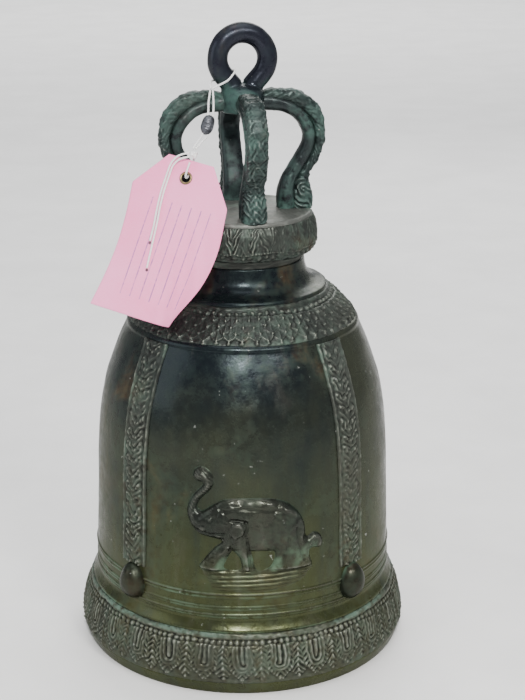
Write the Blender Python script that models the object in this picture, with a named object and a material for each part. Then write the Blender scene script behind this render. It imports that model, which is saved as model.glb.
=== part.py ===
"""A cast bronze temple bell with a crown, a hanging ring, a clapper and a paper tag on a string.

Metres, +Z up. The origin is the middle of the mouth, on the surface that the bell stands on.
"""

import math

import bmesh
import bpy
from mathutils import Matrix, Vector

# Driving dimensions
MM = 0.001
GAP = 0.3 * MM
BELL_SEGMENTS = 40
CROWN_TURN = math.radians(11)
RING_CENTRE_Z = 417.2 * MM
RING_MEAN_RADIUS = 17.1 * MM
RING_BAR_RADIUS = 7.0 * MM
NECK_TOP_Z = 280.0 * MM
NECK_TOP_RADIUS = 42.1 * MM
CEILING_Z = 268.0 * MM
BAND_AZIMUTHS = (45, 135, 225, 315)
BAND_WIDTH = 22.5 * MM
BAND_PROUD = 2.2 * MM
BAND_BOTTOM_Z = 82.0 * MM
BAND_TOP_Z = 232.0 * MM
BOSS_CENTRE_Z = 67.0 * MM
BOSS_WIDTH = 21.0 * MM
BOSS_HEIGHT = 27.0 * MM
BOSS_PROUD = 9.0 * MM
RELIEF_PROUD = 3.0 * MM
RELIEF_AZIMUTHS = {"elephant_relief_front": -90, "elephant_relief_back": 90}
STAPLE_PIVOT_Z = 243.0 * MM
STAPLE_WIRE_RADIUS = 3.5 * MM
STAPLE_BEND_RADIUS = 8.0 * MM
STAPLE_HALF_SPAN = 12.0 * MM
STAPLE_TOP_CLEARANCE = 3.2 * MM
LINK_SPAN = 31.0 * MM
LINK_BEND_RADIUS = 7.3 * MM
LINK_WIRE_RADIUS = 3.0 * MM
CLAPPER_PIVOT_Z = STAPLE_PIVOT_Z - LINK_SPAN - LINK_BEND_RADIUS
EYE_RADIUS = 7.3 * MM
SHAFT_INTO_EYE = 1.5 * MM
SHAFT_INTO_BALL = 0.6 * MM
BALL_RADIUS = 22.0 * MM
BALL_FLAT_WIDTH = 2.2 * MM
BALL_CENTRE_Z = 55.0 * MM
TENON_RADIUS = 4.0 * MM
TENON_BELOW_BALL = 9.0 * MM
TENON_CHAMFER = 1.0 * MM
NUT_CORNER_RADIUS = 7.6 * MM
NUT_HEIGHT = 5.5 * MM
CUTTER_REACH = 2.0 * MM
STRING_RADIUS = 0.65 * MM
TAG_LENGTH = 112.0 * MM
TAG_WIDTH = 70.0 * MM
TAG_TOP_WIDTH = 33.0 * MM
TAG_CHAMFER_LENGTH = 25.0 * MM
TAG_THICKNESS = 0.4 * MM
TAG_TOP = Vector((-34.0, -27.1, 353.0)) * MM
TAG_SLOPE_X = -0.275
TAG_SLOPE_Z = 0.5
TAG_SLANT = math.radians(12.5)
EYELET_DOWN = 12.5 * MM
EYELET_SIDE = 0.4 * MM
EYELET_HOLE_RADIUS = 2.7 * MM
EYELET_FLANGE_RADIUS = 4.45 * MM
SEAL_CENTRE = Vector((-23.2, -18.5, 375.5)) * MM
SEAL_LENGTH = 13.5 * MM
SEAL_WIDTH = 8.6 * MM
SEAL_THICKNESS = 6.9 * MM
SEAL_TIP_SHARE = 0.97
SEAL_ROUNDNESS = 2.4
SEAL_HOLE_SPREAD = 1.7 * MM
SEAL_HOLE_RADIUS = 1.3 * MM
STRING_CROSSING = Vector((-20.5, -14.2, 398.0)) * MM
KNOT_CENTRE = Vector((-32.0, -29.5, 357.5)) * MM
KNOT_RADIUS = 2.6 * MM
LOOP_TURN_RADIUS = 3.0 * MM
LOOP_BEND_RISE = 3.2 * MM

# Turned outlines as (radius, height) in millimetres
OUTER_BODY = (
    (106.8, 51), (106.6, 72), (105.5, 98), (104.8, 120), (104.2, 141), (103, 160), (100.9, 178),
    (97.5, 195), (93, 208.5), (88, 222), (82.5, 234),
)
HUB_OUTLINE = ((0, 381), (13.4, 381), (15.2, 383), (15.6, 393), (14, 397.4), (9, 400.4), (0, 401.4))
SHAFT_OUTLINE = ((0, 0), (3.4, 0), (5, -4), (5.2, -30), (6.4, -88), (6.8, -118))
NECK = ((57.8, 262.2), (50.4, 265.4), (45, 272.4))
INNER_WALL = (
    (106.3, 0), (103.2, 20), (100.9, 45), (100.2, 72), (99, 120), (97.1, 160), (94.2, 182),
    (86.8, 209), (78.6, 227), (54.4, 253), (44, 260.5),
)
LIP_BAND_OUTER = ((119.2, 11), (118.8, 18), (115.4, 31), (111.6, 41.5))
LIP_BAND_DEPTH = 3.0
SHOULDER_BAND_OUTER = ((80, 240.7), (70.6, 250.5), (60, 259.5))
SHOULDER_BAND_DEPTH = 2.4
DRUM = ((0, 280.3), (42.4, 280.3), (44.4, 284.6), (47.6, 287.2), (48.4, 311.6), (47.6, 314), (0, 314))
COLLAR_BAND_OUTER = ((50.2, 288.2), (51.2, 293), (50.2, 310.6))
COLLAR_BAND_INNER_RADIUS = 48.8

# Crown arms as (radius, height, half thickness, half width) in millimetres
ARM_BAR = (
    (16.2, 387.6, 5.6, 7.2), (24, 386.6, 5.2, 7.2), (31, 384.6, 4.8, 7.2), (37.5, 380.6, 4.6, 7.2),
    (43.2, 373.6, 4.4, 7.2), (46.6, 364.5, 4.3, 7.2), (45, 355.6, 4.3, 7.2), (41, 348.2, 4.4, 7.2),
    (36.3, 340.6, 4.5, 7.3), (32.3, 333, 5, 7.6), (30.6, 325, 5.8, 8), (30.6, 314.3, 6.2, 8.2),
)
ARM_CREST = (
    (27, 393.9, 2.4, 5.6), (34, 393.2, 3, 6.4), (41, 389.9, 3.8, 6.8), (47.2, 384.6, 4, 6.8),
    (51.6, 377.9, 3.6, 6.8), (54.4, 370, 3.1, 6.8), (54.8, 362, 2.7, 6.8), (53, 354, 2.7, 6.8),
    (49.4, 346.6, 2.8, 6.6), (45.2, 340, 2.9, 6.6), (42.6, 333.4, 3.6, 6.8), (43.1, 326, 4.9, 7.6),
    (43.6, 320, 5.6, 8), (43.6, 314.3, 5.2, 8),
)

# Elephant outline as (sideways, height) in millimetres, round the tail, the ground and up the trunk
ELEPHANT = (
    (-33.8, 155), (-32.2, 160), (-26.9, 162.3), (-21, 158.6), (-18.4, 152), (-21.5, 145.5),
    (-28, 138.8), (-30.2, 133), (-26.6, 131.2), (-20.5, 135.5), (-11.4, 140.4), (3.6, 141.2),
    (15.4, 140.8), (27.1, 138.2), (37.3, 130.5), (43.2, 120), (44.8, 110.5), (49.6, 112.6), (55, 110),
    (57.5, 104), (55, 99.6), (48.6, 100.4), (47.5, 96), (49.6, 89), (49.1, 85.5), (41.1, 78),
    (19.7, 72.6), (2.5, 72.2), (-17.8, 73.6), (-23.1, 79), (-27.4, 86), (-30, 90.5), (-26.9, 95.5),
    (-19.4, 105), (-14, 109.8), (-19.9, 111.6), (-29, 114), (-35.3, 120.5), (-38.1, 129.5),
    (-35.6, 138.8), (-30.2, 145.6), (-26.4, 150.2), (-30.6, 151.6),
)
LEG_GAPS = (
    ((-6.6, 103), (-2, 97.5), (-1.3, 90), (-11.8, 90.4), (-9.9, 97)),
    ((6.2, 102.5), (16.9, 102), (21.8, 101), (20.7, 94), (16.4, 90), (9.6, 90)),
)
GRID_STEP = 13.0 * MM
CUT_MERGE = 0.3 * MM
SHORT_EDGE = 0.05 * MM

# The string's two ends of its turn round the ring's left leg, as (along the ring, across it, height)
WRAP_START = ((-22.2, -10.4, 399.3), (-17, -9.6, 401.4))
WRAP_END = ((-18.3, 5, 402.2), (-21.2, 0.5, 402.4), (-22.8, -5, 401.2), (-23.4, -9.6, 399.3))
RING_LEG_TURN = math.radians(42)
RING_LEG_LENGTH = 10.4 * MM
WRAP_TURN_DEGREES = (-85, -115, -145, -180, -215, -245, -275, -300)
WRAP_DOWN_LEG = 2.2 * MM

# The two loose ends on the tag's face, as (sideways, down, extra lift) and then as (sideways, down)
TAIL_START = ((-7.6, 1.0, 2.6), (-11.2, 6.5, 1.2), (-12.0, 14, 0), (-11.8, 26, 0))
TAIL_RUN = ((-10.6, 38), (-8.9, 49))
TAIL_TURN_LENGTH = 14
TAIL_LONG_END = (-5.6, 78)
TAIL_SHORT_END = (-7.9, 60)
TAIL_SPREAD = 0.95
TAIL_DROP = 1.5
TAIL_OUT_OF_KNOT = 0.5 * MM

# The string's two strands between its crossing, the seal and the knot
LEG_TOP_SPREAD = 0.85 * MM
LEG_BULGE = 0.4 * MM
LEG_OUT_OF_SEAL = 0.5 * MM
LEG_END_SPREAD = 1.0 * MM
LEG_END_BEHIND = 1.2 * MM
LEG_END_ABOVE = 1.1 * MM

# The loop through the eyelet, as heights above the eyelet in front and (height, lift) behind
LOOP_FRONT = (10.5, 7)
LOOP_BACK = ((6.5, -3), (10, -3), (13.6, -2.8), (16.6, -1.2))


def clear_scene():
    for obj in list(bpy.data.objects):
        bpy.data.objects.remove(obj, do_unlink=True)


def material(name, colour, roughness, metallic):
    mat = bpy.data.materials.new(name)
    mat.use_nodes = True
    shader = mat.node_tree.nodes["Principled BSDF"]
    shader.inputs["Base Color"].default_value = (*colour, 1)
    shader.inputs["Roughness"].default_value = roughness
    shader.inputs["Metallic"].default_value = metallic
    return mat


def add_object(name, bm, finish, smooth_angle=40):
    """Makes one object of a bmesh, with its normals facing out."""
    bmesh.ops.remove_doubles(bm, verts=bm.verts, dist=1e-6)
    bmesh.ops.recalc_face_normals(bm, faces=bm.faces)
    mesh = bpy.data.meshes.new(name)
    bm.to_mesh(mesh)
    bm.free()
    mesh.shade_smooth()
    mesh.set_sharp_from_angle(angle=math.radians(smooth_angle))
    obj = bpy.data.objects.new(name, mesh)
    obj.data.materials.append(material(name, *finish))
    bpy.context.scene.collection.objects.link(obj)
    return obj


def helper(obj):
    obj.hide_render = True
    obj.display_type = "WIRE"
    return obj


def boolean(obj, other, operation):
    modifier = obj.modifiers.new(operation.lower(), "BOOLEAN")
    modifier.operation = operation
    modifier.solver = "EXACT"
    modifier.object = helper(other)


def turned(name, outline, finish, segments=BELL_SEGMENTS, closed_ring=False, smooth_angle=40):
    """Spins an outline of (radius, height) in metres round the vertical axis."""
    bm = bmesh.new()
    verts = [bm.verts.new((r, 0, z)) for r, z in outline]
    pairs = list(zip(verts, verts[1:]))
    if closed_ring:
        pairs.append((verts[-1], verts[0]))
    edges = [bm.edges.new(pair) for pair in pairs]
    bmesh.ops.spin(
        bm, geom=verts + edges, cent=(0, 0, 0), axis=(0, 0, 1), angle=2 * math.pi,
        steps=segments, use_merge=True,
    )
    bmesh.ops.remove_doubles(bm, verts=bm.verts, dist=1e-6)
    bmesh.ops.dissolve_degenerate(bm, edges=bm.edges, dist=1e-6)
    return add_object(name, bm, finish, smooth_angle)


def in_metres(points):
    return [tuple(value * MM for value in point) for point in points]


def inset_line(points, depth):
    """The same outline moved inwards, against its own normal, by depth."""
    moved = []
    for i, (r, z) in enumerate(points):
        before = points[max(i - 1, 0)]
        after = points[min(i + 1, len(points) - 1)]
        along = Vector((after[0] - before[0], after[1] - before[1])).normalized()
        moved.append((r - depth * along.y, z + depth * along.x))
    return moved


def smooth_route(points, per_span):
    """Points of a Catmull-Rom curve through the given ones."""
    points = [Vector(p) for p in points]
    padded = [2 * points[0] - points[1], *points, 2 * points[-1] - points[-2]]
    route = []
    for a, b, c, d in zip(padded, padded[1:], padded[2:], padded[3:]):
        for step in range(per_span):
            t = step / per_span
            tangent_in = (c - a) / 2
            tangent_out = (d - b) / 2
            route.append(
                b * (2 * t**3 - 3 * t**2 + 1)
                + tangent_in * (t**3 - 2 * t**2 + t)
                + c * (3 * t**2 - 2 * t**3)
                + tangent_out * (t**3 - t**2)
            )
    route.append(points[-1])
    return route


def rounded_section(half_a, half_b, sides, power):
    """A superellipse: power 2 is round, and higher is squarer."""
    section = []
    for i in range(sides):
        turn = 2 * math.pi * (i + 0.5) / sides
        c, s = math.cos(turn), math.sin(turn)
        section.append(
            (
                half_a * math.copysign(abs(c) ** (2 / power), c),
                half_b * math.copysign(abs(s) ** (2 / power), s),
            )
        )
    return section


def flat_sweep(name, path, across, sections, finish, closed=False, smooth_angle=40):
    """Sweeps sections along a path that lies in one plane, whose normal is across."""
    bm = bmesh.new()
    count = len(path)
    loops = []
    for i, point in enumerate(path):
        if closed:
            tangent = path[(i + 1) % count] - path[i - 1]
        else:
            tangent = path[min(i + 1, count - 1)] - path[max(i - 1, 0)]
        side = across.cross(tangent).normalized()
        loops.append([bm.verts.new(point + side * a + across * b) for a, b in sections[i]])
    spans = list(zip(loops, loops[1:]))
    if closed:
        spans.append((loops[-1], loops[0]))
    for first, second in spans:
        for j in range(len(first)):
            k = (j + 1) % len(first)
            bm.faces.new((first[j], first[k], second[k], second[j]))
    if not closed:
        bm.faces.new(loops[0])
        bm.faces.new(loops[-1])
    return add_object(name, bm, finish, smooth_angle)


def body_radius(z):
    """Radius of the bell's outer wall at a height in metres."""
    outline = in_metres(OUTER_BODY)
    for (r0, z0), (r1, z1) in zip(outline, outline[1:]):
        if z0 <= z <= z1:
            return r0 + (r1 - r0) * (z - z0) / (z1 - z0)
    return outline[0][0] if z < outline[0][1] else outline[-1][0]


def on_body(azimuth, sideways, z, out):
    """A point on the bell's wall, sideways measured along the wall from the azimuth's vertical line."""
    radius = body_radius(z)
    turn = azimuth + sideways / radius
    return Vector(((radius + out) * math.cos(turn), (radius + out) * math.sin(turn), z))


def bell_shell():
    lip_recess = inset_line(in_metres(LIP_BAND_OUTER), LIP_BAND_DEPTH * MM + 2 * GAP)
    shoulder_recess = inset_line(in_metres(SHOULDER_BAND_OUTER), SHOULDER_BAND_DEPTH * MM + 2 * GAP)
    rim = in_metres(((114.4, 0), (115.3, 0.5), (118.2, 9.6), (117.4, 10.2)))
    cove = in_metres(((109.8, 42.8), (110.1, 46), (107.5, 48.2)))
    shoulder_rim = in_metres(((81.6, 236), (80.6, 238.4)))
    neck_rim = in_metres(((59.2, 261.2),))
    outline = (
        rim
        + lip_recess
        + cove
        + in_metres(OUTER_BODY)
        + shoulder_rim
        + shoulder_recess
        + neck_rim
        + in_metres(NECK)
        + [(NECK_TOP_RADIUS, NECK_TOP_Z), (0, NECK_TOP_Z)]
    )
    inner = [(0, CEILING_Z), *in_metres(INNER_WALL)[::-1]]
    turned("bell_shell", outline + inner + outline[:1], BRONZE_BODY)


def band_ring(name, outer, depth, finish):
    outer = in_metres(outer)
    inner = inset_line(outer, depth * MM)
    return turned(name, outer + inner[::-1], finish, closed_ring=True)


def collar():
    turned("crown_drum", in_metres(DRUM), BRONZE_RELIEF)
    outer = in_metres(COLLAR_BAND_OUTER)
    inner_radius = COLLAR_BAND_INNER_RADIUS * MM
    inner = [(inner_radius, outer[-1][1]), (inner_radius, outer[0][1])]
    turned("collar_band", outer + inner, BRONZE_RELIEF, closed_ring=True)


def corner_band(name, azimuth):
    """A strip that follows the wall from the shoulder down to its boss."""
    breaks = [z for _, z in in_metres(OUTER_BODY) if BAND_BOTTOM_Z + 2 * MM < z < BAND_TOP_Z - 2 * MM]
    heights = [BAND_BOTTOM_Z, *breaks, BAND_TOP_Z]
    columns = 4
    bm = bmesh.new()
    rows = []
    for z in heights:
        row = []
        for i in range(columns + 1):
            sideways = BAND_WIDTH * (i / columns - 0.5)
            row.append(bm.verts.new(on_body(azimuth, sideways, z, 1.5 * GAP)))
        rows.append(row)
    for low, high in zip(rows, rows[1:]):
        for i in range(columns):
            bm.faces.new((low[i], low[i + 1], high[i + 1], high[i]))
    obj = add_object(name, bm, BRONZE_RELIEF)
    thicken(obj, BAND_PROUD)


def thicken(obj, depth):
    solidify = obj.modifiers.new("thickness", "SOLIDIFY")
    solidify.thickness = depth
    solidify.offset = 1
    solidify.use_even_offset = True


def striking_boss(name, azimuth):
    """An egg-shaped dome, narrower at its top, on a flat back."""
    rings = 5
    sides = 16
    bm = bmesh.new()
    loops = []
    for ring in range(rings):
        rise = math.pi / 2 * ring / rings
        loop = []
        for i in range(sides):
            turn = 2 * math.pi * i / sides
            up = math.sin(turn)
            half_width = BOSS_WIDTH / 2 * (1 - 0.14 * up)
            across = half_width * math.cos(turn) * math.cos(rise)
            along = BOSS_HEIGHT / 2 * up * math.cos(rise)
            loop.append(bm.verts.new((BOSS_PROUD * math.sin(rise), across, along)))
        loops.append(loop)
    for low, high in zip(loops, loops[1:]):
        for i in range(sides):
            j = (i + 1) % sides
            bm.faces.new((low[i], low[j], high[j], high[i]))
    tip = bm.verts.new((BOSS_PROUD, 0, 0))
    for i in range(sides):
        bm.faces.new((loops[-1][i], loops[-1][(i + 1) % sides], tip))
    bm.faces.new(loops[0])
    place = Matrix.Rotation(azimuth, 4, "Z")
    out = body_radius(BOSS_CENTRE_Z) + 2 * GAP
    bmesh.ops.transform(bm, matrix=place @ Matrix.Translation((out, 0, BOSS_CENTRE_Z)), verts=bm.verts)
    add_object(name, bm, BRONZE_BODY, 60)


def elephant_relief(name, azimuth):
    """The animal and its ground as one low relief, bent round the wall."""
    bm = bmesh.new()
    edges = []
    for outline in (ELEPHANT, *LEG_GAPS):
        verts = [bm.verts.new((x, 0, z)) for x, z in in_metres(outline)]
        edges += [bm.edges.new((verts[i - 1], verts[i])) for i in range(len(verts))]
    bmesh.ops.triangle_fill(bm, use_beauty=True, edges=edges)
    sideways = [v.co.x for v in bm.verts]
    heights = [v.co.z for v in bm.verts]
    cuts = []
    for spots, normal in ((sideways, Vector((1, 0, 0))), (heights, Vector((0, 0, 1)))):
        low, high = min(spots), max(spots)
        steps = int((high - low) / GRID_STEP)
        cuts += [(normal * (low + (high - low) * i / steps), normal) for i in range(1, steps)]
    for point, normal in cuts:
        geometry = list(bm.verts) + list(bm.edges) + list(bm.faces)
        bmesh.ops.bisect_plane(bm, geom=geometry, plane_co=point, plane_no=normal, dist=CUT_MERGE)
    bmesh.ops.dissolve_degenerate(bm, edges=bm.edges, dist=SHORT_EDGE)
    for vert in bm.verts:
        vert.co = on_body(azimuth, vert.co.x, vert.co.z, 2 * GAP)
    obj = add_object(name, bm, BRONZE_RELIEF)
    if sum((face.normal.dot(face.center) for face in obj.data.polygons)) < 0:
        obj.data.flip_normals()
    thicken(obj, RELIEF_PROUD)


def crown_frame(azimuth):
    """The outward and sideways directions of a crown arm."""
    turn = math.radians(azimuth) + CROWN_TURN
    outward = Vector((math.cos(turn), math.sin(turn), 0))
    sideways = Vector((-math.sin(turn), math.cos(turn), 0))
    return outward, sideways


def crown_bar(name, azimuth, table, finish, sides, power):
    outward, sideways = crown_frame(azimuth)
    table = in_metres(table)
    path = [outward * r + Vector((0, 0, z)) for r, z, _, _ in table]
    sections = [rounded_section(thick, wide, sides, power) for _, _, thick, wide in table]
    return flat_sweep(name, path, sideways, sections, finish)


def crown():
    for name, azimuth in (("front", -90), ("right", 0), ("back", 90), ("left", 180)):
        crown_bar("crown_arm_" + name, azimuth, ARM_BAR, BRONZE_CROWN, 10, 3)
        crown_bar("arm_crest_" + name, azimuth, ARM_CREST, BRONZE_CROWN, 8, 3)


def suspension_ring():
    """A round bar bent to a ring whose two legs run down into the crown's hub."""
    outward, sideways = crown_frame(0)
    hub = turned("suspension_ring", in_metres(HUB_OUTLINE), BRONZE_RING, segments=20)
    leg_turn = -RING_LEG_TURN
    arc_steps = 16
    path = []
    for i in range(arc_steps + 1):
        turn = leg_turn + (math.pi - 2 * leg_turn) * i / arc_steps
        across = RING_MEAN_RADIUS * math.cos(turn)
        path.append(outward * across + Vector((0, 0, RING_CENTRE_Z + RING_MEAN_RADIUS * math.sin(turn))))
    leg = RING_LEG_LENGTH
    first = path[0] + (path[0] - path[1]).normalized() * leg
    last = path[-1] + (path[-1] - path[-2]).normalized() * leg
    path = [first, *path, last]
    section = rounded_section(RING_BAR_RADIUS, RING_BAR_RADIUS, 10, 2)
    bar = flat_sweep("ring_bar_helper", path, sideways, [section] * len(path), BRONZE_RING)
    boolean(hub, bar, "UNION")


def clapper():
    staple_wire = rounded_section(STAPLE_WIRE_RADIUS, STAPLE_WIRE_RADIUS, 10, 2)
    bend = STAPLE_BEND_RADIUS
    top = CEILING_Z - STAPLE_TOP_CLEARANCE
    side = [Vector((STAPLE_HALF_SPAN, 0, top)), Vector((STAPLE_HALF_SPAN, 0, STAPLE_PIVOT_Z + bend))]
    for i in range(1, 5):
        turn = math.pi / 2 * i / 4
        sideways = STAPLE_HALF_SPAN - bend + bend * math.cos(turn)
        side.append(Vector((sideways, 0, STAPLE_PIVOT_Z + bend - bend * math.sin(turn))))
    path = side + [Vector((-p.x, 0, p.z)) for p in side[::-1]]
    flat_sweep("clapper_staple", path, Vector((0, 1, 0)), [staple_wire] * len(path), IRON)

    wire = rounded_section(LINK_WIRE_RADIUS, LINK_WIRE_RADIUS, 8, 2)
    path = []
    for centre_z, start in ((STAPLE_PIVOT_Z, 0), (STAPLE_PIVOT_Z - LINK_SPAN, math.pi)):
        for i in range(8):
            turn = start + math.pi * i / 7
            height = centre_z + LINK_BEND_RADIUS * math.sin(turn)
            path.append(Vector((0, LINK_BEND_RADIUS * math.cos(turn), height)))
    link = flat_sweep("clapper_link", path, Vector((1, 0, 0)), [wire] * len(path), IRON, closed=True)
    set_origin(link, Vector((0, 0, STAPLE_PIVOT_Z)))

    eye_bottom = CLAPPER_PIVOT_Z - EYE_RADIUS
    ball_bottom = BALL_CENTRE_Z - BALL_RADIUS
    shaft = [(r, eye_bottom + SHAFT_INTO_EYE + z) for r, z in in_metres(SHAFT_OUTLINE)]
    shoulder_z = BALL_CENTRE_Z + BALL_RADIUS - SHAFT_INTO_BALL
    tenon_end = ball_bottom - TENON_BELOW_BALL
    shaft += [(shaft[-1][0], shoulder_z), (TENON_RADIUS, shoulder_z)]
    shaft += [(TENON_RADIUS, tenon_end + TENON_CHAMFER), (TENON_RADIUS - TENON_CHAMFER, tenon_end)]
    shaft.append((0, tenon_end))
    rod = turned("clapper_rod", shaft, IRON, segments=16)
    path = []
    for i in range(16):
        turn = 2 * math.pi * (i + 0.5) / 16
        height = CLAPPER_PIVOT_Z + EYE_RADIUS * math.sin(turn)
        path.append(Vector((EYE_RADIUS * math.cos(turn), 0, height)))
    eye = flat_sweep("rod_eye_helper", path, Vector((0, 1, 0)), [wire] * len(path), IRON, closed=True)
    boolean(rod, eye, "UNION")
    set_origin(rod, Vector((0, 0, CLAPPER_PIVOT_Z)))

    bore = TENON_RADIUS + GAP
    outline = []
    first = math.asin((bore + BALL_FLAT_WIDTH) / BALL_RADIUS)
    steps = 8
    for i in range(steps + 1):
        turn = first + (math.pi - 2 * first) * i / steps
        outline.append((BALL_RADIUS * math.sin(turn), BALL_CENTRE_Z + BALL_RADIUS * math.cos(turn)))
    outline = [(bore, outline[0][1]), *outline, (bore, outline[-1][1])]
    turned("clapper_ball", outline, IRON, segments=20, closed_ring=True)

    nut_top = BALL_CENTRE_Z - BALL_RADIUS * math.cos(first) - GAP
    nut_foot = nut_top - NUT_HEIGHT
    outline = [(0, nut_top), (NUT_CORNER_RADIUS, nut_top), (NUT_CORNER_RADIUS, nut_foot), (0, nut_foot)]
    nut = turned("clapper_nut", outline, IRON, segments=6, smooth_angle=20)
    above, below = nut_top + CUTTER_REACH, nut_foot - CUTTER_REACH
    outline = [(0, above), (bore, above), (bore, below), (0, below)]
    boolean(nut, turned("nut_bore_helper", outline, IRON, segments=16), "DIFFERENCE")


def set_origin(obj, origin):
    """Puts the object's own origin on its joint, with the shape left where it is."""
    obj.data.transform(Matrix.Translation(-origin))
    obj.location = origin


def tag_frame():
    """The tag's directions: across to the right, down its length, and out of its face."""
    out = Vector((TAG_SLOPE_X, -1, TAG_SLOPE_Z)).normalized()
    level = Vector((0, 0, 1)).cross(-out).normalized()
    if level.x < 0:
        level = -level
    fall = out.cross(level)
    if fall.z > 0:
        fall = -fall
    across = level * math.cos(TAG_SLANT) + fall * math.sin(TAG_SLANT)
    down = fall * math.cos(TAG_SLANT) - level * math.sin(TAG_SLANT)
    return across, down, out


def on_tag(sideways, down_by, lift):
    across, down, out = tag_frame()
    return TAG_TOP + across * sideways + down * down_by + out * lift


def tag():
    half = TAG_WIDTH / 2
    half_top = TAG_TOP_WIDTH / 2
    outline = (
        (-half_top, 0), (half_top, 0), (half, TAG_CHAMFER_LENGTH), (half, TAG_LENGTH), (-half, TAG_LENGTH),
        (-half, TAG_CHAMFER_LENGTH),
    )
    across, down, out = tag_frame()
    bm = bmesh.new()
    face = bm.faces.new([bm.verts.new(on_tag(x, y, -TAG_THICKNESS / 2)) for x, y in outline])
    extruded = bmesh.ops.extrude_face_region(bm, geom=[face])
    moved = [item for item in extruded["geom"] if isinstance(item, bmesh.types.BMVert)]
    bmesh.ops.translate(bm, verts=moved, vec=out * TAG_THICKNESS)
    sheet = add_object("tag", bm, PAPER, 20)
    hole = turned_on_tag("tag_hole_helper", [(0, -3), (3.5, -3), (3.5, 3), (0, 3)], False)
    boolean(sheet, hole, "DIFFERENCE")

    hole_r = EYELET_HOLE_RADIUS / MM
    flange_r = EYELET_FLANGE_RADIUS / MM
    face_gap = (TAG_THICKNESS / 2 + GAP) / MM
    lip = face_gap + 0.5
    outline = [
        (hole_r, -lip), (hole_r, lip), (flange_r - 0.6, lip + 0.2), (flange_r, face_gap), (3.2, face_gap),
        (3.2, -face_gap), (flange_r, -face_gap), (flange_r - 0.6, -lip - 0.2),
    ]
    turned_on_tag("tag_eyelet", outline, True)


def turned_on_tag(name, outline, closed_ring):
    """A turned shape whose axis is square to the tag at its eyelet."""
    across, down, out = tag_frame()
    obj = turned(name, in_metres(outline), AGED_BRASS, segments=16, closed_ring=closed_ring)
    turn = Matrix((across, -down, out)).transposed().to_4x4()
    obj.data.transform(Matrix.Translation(on_tag(EYELET_SIDE, EYELET_DOWN, 0)) @ turn)
    return obj


def seal_directions():
    along = Vector((-0.27, -0.27, -0.93)).normalized()
    spread = along.cross(Vector((0, -1, 0))).normalized()
    if spread.x < 0:
        spread = -spread
    return along, spread


def seal():
    """A pressed lead seal with two holes for the string."""
    along, spread = seal_directions()
    half = SEAL_LENGTH / 2
    steps = 9
    path, sections = [], []
    for i in range(steps):
        t = SEAL_TIP_SHARE * (2 * i / (steps - 1) - 1)
        swell = math.sqrt(1 - abs(t) ** SEAL_ROUNDNESS) / 2
        path.append(SEAL_CENTRE + along * half * t)
        sections.append(rounded_section(SEAL_WIDTH * swell, SEAL_THICKNESS * swell, 14, SEAL_ROUNDNESS))
    body = flat_sweep("tag_seal", path, spread.cross(along).normalized(), sections, LEAD)
    for side in (-1, 1):
        middle = SEAL_CENTRE + spread * SEAL_HOLE_SPREAD * side
        ends = [middle - along * SEAL_LENGTH, middle + along * SEAL_LENGTH]
        sections = [rounded_section(SEAL_HOLE_RADIUS, SEAL_HOLE_RADIUS, 8, 2)] * 2
        across = spread.cross(along).normalized()
        hole = flat_sweep(f"seal_hole_helper_{side + 2}", ends, across, sections, LEAD)
        boolean(body, hole, "DIFFERENCE")


def string(name, route, per_span):
    """A round cord through a smooth curve."""
    points = smooth_route(route, per_span)
    curve = bpy.data.curves.new(name, "CURVE")
    curve.dimensions = "3D"
    curve.bevel_depth = STRING_RADIUS
    curve.bevel_resolution = 2
    curve.use_fill_caps = True
    spline = curve.splines.new("POLY")
    spline.points.add(len(points) - 1)
    for spot, point in zip(spline.points, points):
        spot.co = (*point, 1)
    obj = bpy.data.objects.new(name, curve)
    curve.materials.append(material(name, *COTTON))
    bpy.context.scene.collection.objects.link(obj)


def wrap_route():
    """From the crossing, over the leg's front, through the ring, round its back and forward again."""
    outward, sideways = crown_frame(0)
    up = Vector((0, 0, 1))
    reach = -outward * math.cos(RING_LEG_TURN) - up * math.sin(RING_LEG_TURN)
    down_leg = outward * math.sin(RING_LEG_TURN) - up * math.cos(RING_LEG_TURN)
    centre = up * RING_CENTRE_Z + reach * RING_MEAN_RADIUS + down_leg * WRAP_DOWN_LEG
    radius = RING_BAR_RADIUS + STRING_RADIUS + 1.5 * GAP
    turn_points = []
    for degrees in WRAP_TURN_DEGREES:
        turn = math.radians(degrees)
        turn_points.append(centre + (reach * math.cos(turn) + sideways * math.sin(turn)) * radius)
    start, end = (
        [outward * s + sideways * q + up * z for s, q, z in in_metres(part)]
        for part in (WRAP_START, WRAP_END)
    )
    return start + turn_points + end


def eyelet_route():
    """From under the knot, down into the eyelet and up the tag's back, over its edge."""
    _, down, out = tag_frame()
    middle = on_tag(EYELET_SIDE, EYELET_DOWN, 0)
    front = [on_tag(EYELET_SIDE, EYELET_DOWN - up * MM, LOOP_TURN_RADIUS) for up in LOOP_FRONT]
    bend = []
    for i in range(5):
        turn = math.pi * i / 4
        below = LOOP_TURN_RADIUS * math.sin(turn) - LOOP_BEND_RISE
        bend.append(middle + out * LOOP_TURN_RADIUS * math.cos(turn) + down * below)
    back = [on_tag(EYELET_SIDE, EYELET_DOWN - up * MM, lift * MM) for up, lift in LOOP_BACK]
    return front + bend + back


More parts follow.
